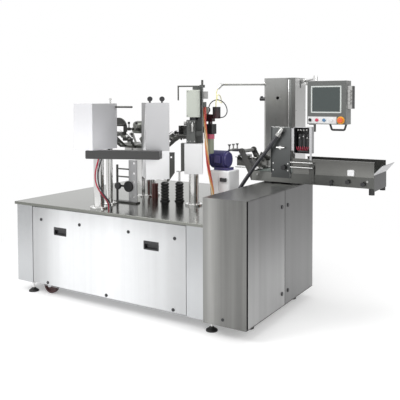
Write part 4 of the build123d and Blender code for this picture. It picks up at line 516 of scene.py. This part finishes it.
NODE_FINISH = {
    "base_frame": "frame", "access_panel": "panel", "panel_hardware": "black", "table_top": "deck",
    "levelling_feet": "polished", "cabinet_shell": "cabinet", "cabinet_door_front": "door",
    "cabinet_door_rear": "door_rear", "electrical_panel": "white", "drive_unit": "cast",
    "turret_column": "polished", "turret_rotor": "machined", "arm_ring_left": "cast",
    "arm_ring_right": "arm", "sealer_a_cover": "cover", "sealer_a_jaw_outer": "machined",
    "sealer_a_jaw_inner": "cast", "sealer_b_cover": "cover_b", "sealer_b_jaw_outer": "machined",
    "sealer_b_jaw_inner": "cast", "sealer_stand": "polished", "opener_column": "slate",
    "opener_slide": "cast", "lift_rods": "polished", "rod_boots": "rubber", "air_unit": "black",
    "vacuum_unit": "blue", "tower": "tower", "hmi_arm": "polished", "hmi_enclosure": "hmi",
    "hmi_screen": "bezel", "hmi_selector": "black", "hmi_button_red": "cap_red",
    "hmi_button_blue": "cap_blue", "hmi_button_white": "cap_white", "hmi_estop": "stop",
    "hmi_fittings": "black", "magazine_beam": "beam", "magazine_trough": "trough",
    "magazine_belt": "belt", "magazine_roller_drive": "machined", "magazine_roller_tail": "machined",
    "hand_knobs": "black", "feed_plate": "plate", "clamp_lever": "polished", "pickup_arm": "machined",
}

# Ways to look at the drawing: a zero point and a turn about the upright axis
GROUND = ((0.0, 0.0), 0.0)
ALONG_BAR = ((1021.3, 151.0), 22.5)
SECOND_SEALER = ((740.0, 830.0), 45.0)
OPENER_POST = ((1400.0, 605.0), 30.0)
FAR = 1e6
ANY = (-FAR, FAR)
DOOR_SPLIT = node_box("cabinet_door_front")[1].y
UP = (0, 0, 1)
FORWARD = (0, -1, 0)
RIGHT = (1, 0, 0)

# Node, finish, the span of X, Y and Z, the way to look, and where its faces point
PAINTS = (
    ("turret_column", "arm", ANY, ANY, (1262, FAR), GROUND, None),
    ("sealer_stand", "bar", ANY, (-47, 150), (1157.5, FAR), ALONG_BAR, None),
    ("sealer_stand", "cast", (734, 971), (384, 449), (759, 1120), GROUND, None),
    ("sealer_stand", "cover_b", (875, 962), (414, 426), (771, 1120), GROUND, None),
    ("sealer_stand", "black", (744, 806), (385, 415.5), (866, 928), GROUND, None),
    ("sealer_stand", "black", (830, 922), (401, 415.5), (851, 943), GROUND, None),
    ("sealer_stand", "brown", (874, 936), (714, 776), (760, 892), GROUND, None),
    ("sealer_b_cover", "cover_low", (-94.5, 94.5), ANY, (988, 1214), SECOND_SEALER, None),
    ("sealer_b_cover", "cast", (94.6, FAR), ANY, ANY, SECOND_SEALER, None),
    ("sealer_b_cover", "black", ANY, ANY, (1595.5, FAR), SECOND_SEALER, None),
    # Faces of the second sealer's cover that point left get painted shade.
    ("sealer_b_cover", "cover_shaded_side", (-FAR, -90), ANY, (1214, 1596), SECOND_SEALER, (-1, 0, 0)),
    ("sealer_a_cover", "polished", ANY, ANY, (1590.5, FAR), GROUND, None),
    ("sealer_a_cover", "cast", (839, FAR), ANY, ANY, GROUND, None),
    ("opener_column", "polished", ANY, ANY, (759, 1020.5), OPENER_POST, None),
    ("opener_column", "white", (-73.2, 73.2), (-75.2, 75.2), (1020.5, 1266.2), OPENER_POST, None),
    ("opener_column", "cast", (-FAR, -73.3), ANY, ANY, OPENER_POST, None),
    ("opener_column", "head", (-56.2, 56.2), (-50.2, 50.2), (1477.8, 1697.2), OPENER_POST, None),
    ("opener_column", "black", (-34, 34), (-34, 34), (1454.1, 1477.9), OPENER_POST, None),
    ("opener_column", "cast", ANY, ANY, (1730.2, FAR), OPENER_POST, None),
    ("opener_column", "machined", (77.2, 120), (-26, 31), (1620, 1690), OPENER_POST, None),
    ("air_unit", "bowl", ANY, ANY, (0, 1300), GROUND, None),
    ("air_unit", "ring", ANY, ANY, (1300.1, 1339.9), GROUND, None),
    ("air_unit", "maroon", ANY, ANY, (1421, 1512), GROUND, None),
    ("air_unit", "dial", (1457, 1507), (600, 668), (1510, 1561), GROUND, FORWARD),
    ("vacuum_unit", "white", ANY, ANY, (0, 1040.2), GROUND, None),
    ("vacuum_unit", "black", ANY, (-FAR, 709.8), (0, 1040.2), GROUND, None),
    # The tower's right-facing faces get painted light.
    ("tower", "tower_lit_side", (1904.5, FAR), ANY, ANY, GROUND, RIGHT),
    # The tower's front chamfer gets a painted highlight.
    ("tower", "tower_chamfer_highlight", (1587, 1615), (1499, 1527), ANY, GROUND, (-0.7, -0.7, 0)),
    ("tower", "polished", (-FAR, 1587), ANY, (1700, FAR), GROUND, None),
    ("tower", "black", (-FAR, 1587.9), ANY, (0, 1700), GROUND, None),
    ("tower", "polished", (1912, FAR), ANY, ANY, GROUND, None),
    ("hmi_fittings", "cap_white", (2225, 2462), (990, 1000.5), (1428, 1484), GROUND, None),
    ("hmi_fittings", "stop_ring", (2464, 2526), (990, 1000.5), (1425, 1487), GROUND, None),
    ("hmi_fittings", "machined", (2537.5, FAR), (990, 1020.5), ANY, GROUND, None),
    ("hmi_fittings", "cast", (2231, 2279), ANY, (1300, 1423.5), GROUND, None),
    ("hmi_screen", "screen", (2262.2, 2488.8), ANY, (1522.2, 1713.8), GROUND, None),
    # The operator panel's right-facing faces get painted light.
    ("hmi_enclosure", "hmi_side", (2536, FAR), ANY, ANY, GROUND, RIGHT),
    ("hmi_enclosure", "polished", ANY, ANY, (1763.5, FAR), GROUND, None),
    # Upward faces of the cabinet get the darker copy: painted shade on its top.
    ("cabinet_shell", "cabinet_shaded_top", ANY, ANY, (951.5, FAR), GROUND, UP),
    # Black rubber on the shell's rim and on the doors' edges: seal strips that are also painted shade,
    # darkening the gaps round the doors.
    ("cabinet_shell", "rubber", (2160, 2215.5), (-33.5, 60), (88, 950), GROUND, None),
    ("cabinet_shell", "rubber", (2150, 2215.5), (DOOR_SPLIT - 30, DOOR_SPLIT + 40), (88, 950), GROUND, None),
    ("cabinet_door_front", "rubber", ANY, (-14, -10), (88, 950), GROUND, FORWARD),
    ("cabinet_door_front", "rubber", ANY, (DOOR_SPLIT - 1, DOOR_SPLIT + 1), (88, 950), GROUND, (0, 1, 0)),
    ("cabinet_door_rear", "rubber", ANY, (DOOR_SPLIT, DOOR_SPLIT + 12), (88, 950), GROUND, FORWARD),
    ("magazine_beam", "black", (2796.5, FAR), ANY, ANY, GROUND, RIGHT),
    # Black rubber feet and spacer pads under the beam; the pads are also painted shade, filling the gap
    # above the cabinet top.
    ("magazine_beam", "rubber", (1880, FAR), ANY, (0, 961.8), GROUND, None),
    ("magazine_beam", "cast", (2290, 2338), (-FAR, 859.5), ANY, GROUND, None),
    ("magazine_beam", "cast", (-FAR, 1799.5), ANY, ANY, GROUND, None),
    ("magazine_trough", "cover_b", (2793.5, FAR), ANY, ANY, GROUND, None),
    ("magazine_trough", "cover_low", (2598, 2652), (-FAR, 867), ANY, GROUND, None),
    ("magazine_trough", "machined", ANY, (-FAR, 852), (1080, 1140), GROUND, None),
    ("feed_plate", "cover_b", (2142.5, FAR), ANY, ANY, GROUND, None),
    # Black inside the open valve box: the valves' own black, and painted shade on the box's inner walls.
    ("feed_plate", "black", (2168.5, 2296.5), (855, 942), (1200.5, 1400.5), GROUND, None),
    ("feed_plate", "machined", (2190, 2280), ANY, (1346, 1350), GROUND, UP),
    ("feed_plate", "machined", (2040, 2110), (-FAR, 853.5), (1300, 1400), GROUND, None),
    ("feed_plate", "polished", ANY, (-FAR, 849), (1050, 1120), GROUND, None),
    ("levelling_feet", "rubber", ANY, ANY, (-10, 31), GROUND, None),
    ("electrical_panel", "black", ANY, ANY, (160, 330), GROUND, None),
    ("electrical_panel", "hmi_side", ANY, ANY, (670, 830), GROUND, None),
    ("drive_unit", "blue", (1120, 1290), (905, FAR), ANY, GROUND, None),
    ("drive_unit", "machined", (900, 1100), ANY, (230, 400), GROUND, None),
    ("opener_slide", "rubber", ANY, ANY, (1325, 1362), GROUND, None),
)


def inside(place, normal, spans, view, facing):
    """Whether a face lies within the spans, looked at along a turned view."""
    (x0, y0), turn = view
    a = math.radians(-turn)
    x = place.x - x0
    y = place.y - y0
    place = (x * math.cos(a) - y * math.sin(a), x * math.sin(a) + y * math.cos(a), place.z)
    if any(value < low or value > high for value, (low, high) in zip(place, spans)):
        return False
    if facing is None:
        return True
    seen = Matrix.Rotation(a, 3, "Z") @ normal
    return seen.dot(Vector(facing)) > 0.7


def paint(node, finish, x_span, y_span, z_span, view, facing):
    """Give some faces of a CAD node a finish of their own."""
    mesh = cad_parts[node].data
    mesh.materials.append(FINISH[finish])
    index = len(mesh.materials) - 1
    for face in mesh.polygons:
        spot = Vector(((face.center.x - CORNER.x) * 1000, (face.center.y - CORNER.y) * 1000,
                       face.center.z * 1000))
        if inside(spot, face.normal, (x_span, y_span, z_span), view, facing):
            face.material_index = index


def finish_nodes():
    for name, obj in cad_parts.items():
        if name.startswith("caster_wheel"):
            key = "tyre"
        elif name.startswith("door_lock"):
            key = "black"
        else:
            key = NODE_FINISH.get(name, "black")
        obj.data.materials.clear()
        obj.data.materials.append(FINISH[key])
    for row in PAINTS:
        paint(*row)


# Small fittings, modelled once and copied

TURRET = (740.0, 830.0)
STATIONS = 8
STATION_TURN = 360 / STATIONS
HALF_POUCH = 13.4
# Turn about the table, distance of the fittings from its axis, and width of the cover
SEALER_FACES = ((0.0, 514.0, 196.0), (45.0, 455.0, 188.0))
LEVER_TURNS = (-118, -82, -46, -10, 62, 152)
MM = 0.001


def edit(obj):
    """Open one object for editing, with nothing picked."""
    bpy.ops.object.select_all(action="DESELECT")
    obj.select_set(True)
    bpy.context.view_layer.objects.active = obj
    bpy.ops.object.mode_set(mode="EDIT")
    bpy.ops.mesh.select_mode(type="FACE")
    bpy.ops.mesh.select_all(action="DESELECT")


def pick(obj, test):
    """Select the faces that pass a test, and nothing else."""
    bpy.ops.mesh.select_all(action="DESELECT")
    mesh = bmesh.from_edit_mesh(obj.data)
    for face in mesh.faces:
        face.select_set(test(face))
    bmesh.update_edit_mesh(obj.data)


def close(obj, bevel, finish):
    """Leave editing, soften the edges and give the finish."""
    bpy.ops.object.mode_set(mode="OBJECT")
    soft = obj.modifiers.new("soft edges", "BEVEL")
    soft.width = bevel * MM
    soft.segments = 2
    soft.limit_method = "ANGLE"
    bpy.ops.object.modifier_apply(modifier=soft.name)
    bpy.ops.object.shade_smooth_by_angle(angle=math.radians(35))
    obj.data.materials.clear()
    obj.data.materials.append(FINISH[finish])
    return obj


def lathe_rod(radius, length, steps, finish, sides=20, bevel=0.6):
    """Round bar along Z from its foot, with shoulders turned on its free end."""
    bpy.ops.object.select_all(action="DESELECT")
    bpy.ops.mesh.primitive_cylinder_add(vertices=sides, radius=radius * MM, depth=length * MM,
                                        location=(0, 0, length * MM / 2))
    bpy.ops.object.transform_apply(location=True)
    obj = bpy.context.object
    edit(obj)
    pick(obj, lambda face: face.normal.z > 0.9)
    for inset, rise in steps:
        if inset:
            bpy.ops.mesh.inset(thickness=inset * MM)
        bpy.ops.mesh.extrude_region_move(TRANSFORM_OT_translate={"value": (0, 0, rise * MM)})
    return close(obj, bevel, finish)


def bar_plate(size, inset, rise, finish, bevel=1.0):
    """Flat block on its foot whose front face is stepped in and raised."""
    bpy.ops.object.select_all(action="DESELECT")
    bpy.ops.mesh.primitive_cube_add(size=1, location=(0, 0, 0))
    obj = bpy.context.object
    obj.scale = [value * MM for value in size]
    bpy.ops.object.transform_apply(scale=True)
    obj.data.transform(Matrix.Translation((0, 0, size[2] * MM / 2)))
    edit(obj)
    pick(obj, lambda face: face.normal.y < -0.9)
    bpy.ops.mesh.inset(thickness=inset * MM)
    bpy.ops.mesh.extrude_region_move(TRANSFORM_OT_translate={"value": (0, -rise * MM, 0)})
    return close(obj, bevel, finish)


def star_grip(radius, length, finish):
    """Hand knob along Z: a shank, and a head with grooves pressed into its rim."""
    bpy.ops.object.select_all(action="DESELECT")
    bpy.ops.mesh.primitive_cylinder_add(vertices=24, radius=radius * MM, depth=length * MM,
                                        location=(0, 0, length * MM / 2))
    bpy.ops.object.transform_apply(location=True)
    obj = bpy.context.object
    edit(obj)
    sides = [face.index for face in bmesh.from_edit_mesh(obj.data).faces if abs(face.normal.z) < 0.1]
    pick(obj, lambda face: face.index in sides and sides.index(face.index) % 3 == 0)
    bpy.ops.mesh.inset(thickness=0.8 * MM, use_individual=True)
    bpy.ops.mesh.extrude_region_shrink_fatten(TRANSFORM_OT_shrink_fatten={"value": -0.12 * radius * MM})
    pick(obj, lambda face: face.normal.z > 0.9)
    bpy.ops.mesh.inset(thickness=0.35 * radius * MM)
    bpy.ops.mesh.extrude_region_move(TRANSFORM_OT_translate={"value": (0, 0, -0.2 * length * MM)})
    return close(obj, 0.5, finish)


def copy_of(obj, *moves):
    """Copy with a mesh of its own, moved by matrices from last to first."""
    twin = obj.copy()
    twin.data = obj.data.copy()
    whole = Matrix.Identity(4)
    for move in moves:
        whole = whole @ move
    twin.data.transform(whole)
    bpy.context.scene.collection.objects.link(twin)
    return twin


def shift(x, y, z):
    return Matrix.Translation(Vector((x, y, z)) * MM)


def spin(angle, axis):
    return Matrix.Rotation(math.radians(angle), 4, axis)


def ground(x, y, z):
    """Move to a place on the drawing."""
    return Matrix.Translation(at(x, y, z))


def piece(name, body, parts, masters=()):
    """Join parts into one named piece that rides on a body."""
    bpy.ops.object.select_all(action="DESELECT")
    for part in parts:
        part.select_set(True)
    bpy.context.view_layer.objects.active = parts[0]
    bpy.ops.object.join()
    obj = bpy.context.view_layer.objects.active
    obj.name = name
    for master in masters:
        bpy.data.objects.remove(master)
    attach(obj, body)


def grip_fittings(side, body, name):
    """Spring barrel, end cap and cam roller on each gripper arm of one ring."""
    barrel = lathe_rod(5.5, 40, ((1.5, 3), (1.0, 12)), "machined")
    cap = lathe_rod(7.0, 9, ((1.5, 2),), "black")
    roller = lathe_rod(10.0, 10, ((3.0, 2), (2.0, 5)), "black")
    foot = bar_plate((12, 10, 14), 2.0, 1.0, "cast")
    parts = []
    for k in range(STATIONS):
        turn = ground(*TURRET, 0) @ spin(STATION_TURN * k + side * HALF_POUCH, "Z")
        y = side * 12.2
        parts.append(copy_of(barrel, turn, shift(332, y, 1290), spin(90, "Y")))
        parts.append(copy_of(cap, turn, shift(336, y, 1290), spin(-90, "Y")))
        parts.append(copy_of(foot, turn, shift(352, y, 1283)))
        parts.append(copy_of(roller, turn, shift(345, 0, 1278.7), spin(180, "X")))
    piece(name, body, parts, (barrel, cap, roller, foot))


def sealer_fittings():
    """Bearing caps, adjuster knobs and stop blocks between the sealers' faces."""
    cap = lathe_rod(13.0, 6, ((3.0, 3), (4.0, 4)), "cast")
    knob = star_grip(11.0, 14, "black")
    block = bar_plate((30, 18, 34), 3.0, 3.0, "cast")
    parts = []
    for angle, back, wide in SEALER_FACES:
        turn = ground(*TURRET, 0) @ spin(angle, "Z")
        for side in (-1, 1):
            x = side * (wide / 2 - 19)
            parts.append(copy_of(block, turn, shift(x, -back + 9, 1262)))
            parts.append(copy_of(knob, turn, shift(x, -back + 18, 1279), spin(-90, "X")))
            parts.append(copy_of(cap, turn, shift(side * 22, -back, 1455), spin(-90, "X")))
    piece("sealer_fittings", "base", parts, (cap, knob, block))


def opener_fittings():
    """Round regulator knob, screws and an air cylinder on the opener's neck."""
    knob = star_grip(15.0, 22, "machined")
    screw = lathe_rod(5.0, 4, ((1.5, -1.5),), "machined", sides=12)
    barrel = lathe_rod(11.0, 62, ((2.5, 4), (4.0, 10)), "machined")
    saddle = bar_plate((34, 12, 22), 3.0, 2.0, "cast")
    place, angle = OPENER_POST
    turn = ground(*place, 0) @ spin(angle, "Z")
    parts = [copy_of(knob, turn, shift(-57, -20, 1428), spin(-90, "Y")),
             copy_of(barrel, turn, shift(-8, -67, 1362)),
             copy_of(saddle, turn, shift(-8, -57, 1372)),
             copy_of(saddle, turn, shift(-8, -57, 1402))]
    for x in (-48, -26, 8):
        for z in (1284, 1440):
            parts.append(copy_of(screw, turn, shift(x, -51, z), spin(90, "X")))
    for x in (-48, 48):
        for z in (1492, 1684):
            parts.append(copy_of(screw, turn, shift(x, -50, z), spin(90, "X")))
    piece("opener_fittings", "base", parts, (knob, screw, barrel, saddle))


def valve_terminals():
    """Terminals, silver plugs and red ferrules inside the open valve box."""
    strip = bar_plate((96, 8, 16), 2.0, 3.0, "black")
    plug = lathe_rod(6.0, 10, ((1.5, 6),), "machined", sides=14)
    ferrule = lathe_rod(2.6, 26, ((0.7, 6),), "cap_red", sides=10)
    parts = [copy_of(strip, ground(2232, 890.5, 1372)), copy_of(strip, ground(2232, 890.5, 1204))]
    for k in range(4):
        parts.append(copy_of(plug, ground(2196 + 24 * k, 884, 1380), spin(90, "X")))
    for k in range(3):
        parts.append(copy_of(plug, ground(2204 + 32 * k, 893.7, 1318 + 12 * (k % 2)), spin(90, "X")))
    for k in range(7):
        lean = -24 + 8 * k
        parts.append(copy_of(ferrule, ground(2188 + 13 * k, 884, 1221), spin(lean, "Y")))
    piece("valve_terminals", "base", parts, (strip, plug, ferrule))


def panel_screws():
    """Small screws on the tower's side and on the back of the operator panel."""
    screw = lathe_rod(5.0, 3, ((1.6, -1.2),), "machined", sides=12)
    on_tower = [copy_of(screw, ground(1905, y, z), spin(90, "Y"))
                for z in (800, 1040, 1280, 1520) for y in (1515, 1725)]
    on_panel = [copy_of(screw, ground(x, 1120, z), spin(-90, "X"))
                for x in (2234, 2521) for z in (1438, 1748)]
    piece("tower_screws", "base", on_tower)
    piece("panel_screws", "operator_panel", on_panel, (screw,))


def tray(size, wall, finish):
    """Open tray: a block whose top is pressed down inside its walls."""
    obj = bar_plate(size, 9.0, 1.2, finish, 0.8)
    edit(obj)
    top = max(vertex.co.z for vertex in obj.data.vertices)
    pick(obj, lambda face: face.normal.z > 0.9 and abs(face.calc_center_median().z - top) < 1e-5)
    bpy.ops.mesh.inset(thickness=wall * MM)
    bpy.ops.mesh.extrude_region_move(TRANSFORM_OT_translate={"value": (0, 0, -(size[2] - 6) * MM)})
    return close(obj, 0.4, finish)


def magazine_chute():
    """Tray, guide rails, clamps and stop bracket left of the magazine's belt."""
    shell = tray((238, 130, 62), 3.0, "trough")
    lid = tray((96, 60, 30), 3.0, "cover_low")
    rail = lathe_rod(5.0, 262, ((1.5, 2),), "polished")
    clamp = bar_plate((20, 24, 40), 3.0, 3.0, "arm")
    knob = star_grip(9.0, 13, "black")
    wedge = bar_plate((104, 8, 34), 5.0, 2.0, "cast")
    parts = [copy_of(shell, ground(1679, 1110, 1052)), copy_of(lid, ground(1610, 1105, 1118)),
             copy_of(wedge, ground(1764, 1050, 1116), spin(24, "Y")),
             copy_of(wedge, ground(1764, 1168, 1116), spin(24, "Y"))]
    for y, z in ((1046, 1040), (1174, 1040), (1046, 1126)):
        parts.append(copy_of(rail, ground(1545, y, z), spin(90, "Y")))
    for x in (1582, 1668, 1760):
        parts.append(copy_of(clamp, ground(x, 1050, 1102)))
        parts.append(copy_of(knob, ground(x, 1035, 1120), spin(90, "X")))
    piece("magazine_chute", "base", parts, (shell, lid, rail, clamp, knob, wedge))


def tower_highlight_and_shade_strips():
    """Bright strip and dark strip that run up the front of the tower: a painted highlight line and a painted
    band of shade.
    """
    highlight_bead = bar_plate((4.5, 1.6, 640), 0.8, 0.5, "polished", 0.3)
    shade_band = bar_plate((25, 1.0, 640), 3.0, 0.4, "slate", 0.3)
    parts = [copy_of(highlight_bead, ground(1842, 1499.4, 1158)), copy_of(shade_band, ground(1860, 1499.6, 1158))]
    piece("tower_highlight_and_shade_strips", "base", parts, (highlight_bead, shade_band))


def plate_edge_highlights():
    """Bright strips on the front edges of the feed plate: painted edge highlights."""
    low, high = node_box("feed_plate")
    upright = bar_plate((2.2, 1.6, 396), 0.5, 0.4, "polished", 0.2)
    level = bar_plate((158, 1.6, 2.2), 0.5, 0.4, "polished", 0.2)
    parts = [copy_of(upright, ground(low.x + 3, 853.2, 1004)), copy_of(upright, ground(2138, 853.2, 1004)),
             copy_of(level, ground((low.x + 2141) / 2, 853.2, 1399))]
    piece("plate_edge_highlights", "base", parts, (upright, level))


def gripper_rods():
    """Toggle rods with joints between the clamp heads and the cam head."""
    rod = lathe_rod(3.6, 118, ((1.0, 8),), "machined", sides=12)
    joint = star_grip(7.5, 12, "black")
    fork = bar_plate((18, 12, 20), 2.5, 1.5, "arm")
    parts = []
    for k in range(STATIONS):
        turn = ground(*TURRET, 0) @ spin(STATION_TURN * k, "Z")
        parts.append(copy_of(fork, turn, shift(196, 0, 1262)))
        parts.append(copy_of(rod, turn, shift(190, 0, 1276), spin(58, "Y")))
        parts.append(copy_of(joint, turn, shift(196, 6, 1276), spin(90, "X")))
    piece("toggle_rods", "rotor", parts, (rod, joint, fork))


def cam_levers():
    """Levers, posts and knobs that stand on the fixed cam head."""
    lever = bar_plate((132, 15, 16), 3.0, 2.0, "arm")
    post = lathe_rod(6.0, 34, ((1.5, 4), (1.5, 5)), "machined", sides=16)
    knob = star_grip(10.0, 16, "black")
    clamp = bar_plate((26, 30, 26), 4.0, 3.0, "cast")
    parts = []
    for angle in LEVER_TURNS:
        turn = ground(*TURRET, 0) @ spin(angle, "Z")
        parts.append(copy_of(lever, turn, shift(116, 0, 1352)))
        parts.append(copy_of(clamp, turn, shift(160, 0, 1347)))
        parts.append(copy_of(post, turn, shift(160, 0, 1372)))
        parts.append(copy_of(knob, turn, shift(160, 0, 1408)))
        parts.append(copy_of(knob, turn, shift(120, -9, 1360), spin(90, "X")))
    piece("cam_levers", "base", parts, (lever, post, knob, clamp))


def make_fittings():
    cam_levers()
    magazine_chute()
    plate_edge_highlights()
    tower_highlight_and_shade_strips()
    gripper_rods()
    grip_fittings(1, "arms_left", "grip_fittings_left")
    grip_fittings(-1, "arms_right", "grip_fittings_right")
    sealer_fittings()
    opener_fittings()
    valve_terminals()
    panel_screws()


# Cords and hoses

CABLE_R = 15.0
HOSE_R = 5.5
TUBE_R = 4.0
BUNDLE_R = 13.0
BAR_INSIDE = 1220.0
VALVE_PLACE = (1500.0, 700.0)
GLAND_MOUTH = (2044.7, 813.3, 1332.2)
GLAND_RUN = (1977.8, 798.9, 1234.2)


def smooth_curve(name, points):
    """Curve without thickness that follows its route's points smoothly."""
    curve = bpy.data.curves.new(name, "CURVE")
    curve.dimensions = "3D"
    spline = curve.splines.new("NURBS")
    spline.points.add(len(points) - 1)
    for point, place in zip(spline.points, points):
        point.co = (*at(*place), 1)
    spline.order_u = 3
    spline.use_endpoint_u = True
    spline.resolution_u = 8
    return curve


def hose(name, node, points, radius, finish):
    """Smooth cord through its route's points, from one seat to the other."""
    curve = smooth_curve(name, points)
    curve.bevel_depth = radius / 1000
    curve.bevel_resolution = 5
    curve.use_fill_caps = True
    obj = bpy.data.objects.new(name, curve)
    bpy.context.scene.collection.objects.link(obj)
    curve.materials.append(FINISH[finish])
    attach(obj, "base")
    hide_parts(node)


STRANDS = 6
STRAND_R = 4.3
STRAND_TURNS = 1.6
STRAND_FINISH = ("orange", "amber", "pale_tube", "amber", "orange", "hose_red")


def route_line(points):
    """Places along the smooth route through its points, in metres."""
    guide = bpy.data.objects.new("route", smooth_curve("route", points))
    mesh = bpy.data.meshes.new_from_object(guide)
    line = [vertex.co.copy() for vertex in mesh.vertices]
    bpy.data.meshes.remove(mesh)
    bpy.data.objects.remove(guide)
    return line


def tube_bundle(points):
    """Bundle of thin tubes that wind slowly round one route."""
    line = route_line(points)
    reach = (BUNDLE_R - STRAND_R) / 1000
    strands = []
    for k in range(STRANDS):
        curve = bpy.data.curves.new("strand", "CURVE")
        curve.dimensions = "3D"
        curve.bevel_depth = STRAND_R / 1000
        curve.bevel_resolution = 3
        curve.use_fill_caps = True
        spline = curve.splines.new("POLY")
        spline.points.add(len(line) - 1)
        for i, place in enumerate(line):
            angle = math.tau * (k / STRANDS + STRAND_TURNS * i / len(line))
            side = Vector((math.cos(angle), math.sin(angle), 0)) * reach
            spline.points[i].co = (*(place + side), 1)
        curve.materials.append(FINISH[STRAND_FINISH[k]])
        strand = bpy.data.objects.new("tube_bundle", curve)
        bpy.context.scene.collection.objects.link(strand)
        strands.append(strand)
    bpy.ops.object.select_all(action="DESELECT")
    for strand in strands:
        strand.select_set(True)
    bpy.context.view_layer.objects.active = strands[0]
    bpy.ops.object.convert(target="MESH")
    bpy.ops.object.join()
    obj = bpy.context.view_layer.objects.active
    obj.name = "tube_bundle"
    bpy.ops.object.shade_smooth()
    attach(obj, "base")
    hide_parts("copper_bundle")


def make_cords():
    x, y = VALVE_PLACE
    hose("cable", "main_cable", [
        GLAND_MOUTH, GLAND_RUN, (1886, 766, 1110), (1812, 736, 990), (1752, 714, 892), (1726, 702, 820),
        (1726, 702, DECK_TOP)], CABLE_R, "hose_black")
    hose("hose_red", "red_hose", [
        (872, 52, BAR_INSIDE), (872, 52, 1160), (860, 38, 1102), (851, 30, 1043), (857, 26, 985),
        (882, 26, 930), (912, 44, 880), (932, 78, 830), (936, 92, 790), (936, 92, DECK_TOP)],
        HOSE_R, "hose_red")
    hose("hose_black", "black_hose", [
        (892, 62, BAR_INSIDE), (892, 62, 1160), (884, 44, 1100), (878, 30, 1040), (886, 26, 982),
        (908, 28, 926), (936, 46, 872), (952, 80, 826), (954, 96, 788), (954, 96, DECK_TOP)],
        HOSE_R, "hose_black")
    tube_bundle([
        (1500, 612, 1560), (1500, 612, 1480), (1510, 607, 1375), (1517, 608, 1270), (1522, 612, 1170),
        (1532, 616, 1070), (1548, 626, 970), (1560, 640, 870), (1560, 640, DECK_TOP)])
    hose("tube_loop", "loop_hose", [
        (x - 26, y + 14, 1500), (x - 26, y + 14, 1545), (x - 12, y + 15, 1586), (x + 22, y + 16, 1612),
        (x + 66, y + 16, 1619), (x + 110, y + 15, 1604), (x + 138, y + 14, 1572), (x + 151, y + 13, 1540),
        (x + 150, y + 12, 1511), (x + 134, y + 12, 1488), (x + 111, y + 12, 1474), (x + 86, y + 12, 1474)],
        TUBE_R, "hose_black")
    hose("tube_yellow", "yellow_tube", [
        (1188, 1401.5, 1745.4), (1158, 1387.3, 1708), (1160, 1376, 1662), (1196, 1340, 1626),
        (1262, 1260, 1600), (1340, 1168, 1588), (1400, 1068, 1592), (1455, 960, 1611), (1505, 862, 1640),
        (1535, 784, 1662), (1551, 734, 1656), (1558, 704, 1634), (x + 58, y - 8, 1600),
        (x + 58, y - 8, 1560)], TUBE_R, "yellow")


make_studio()
finish_nodes()
make_fittings()
make_cords()
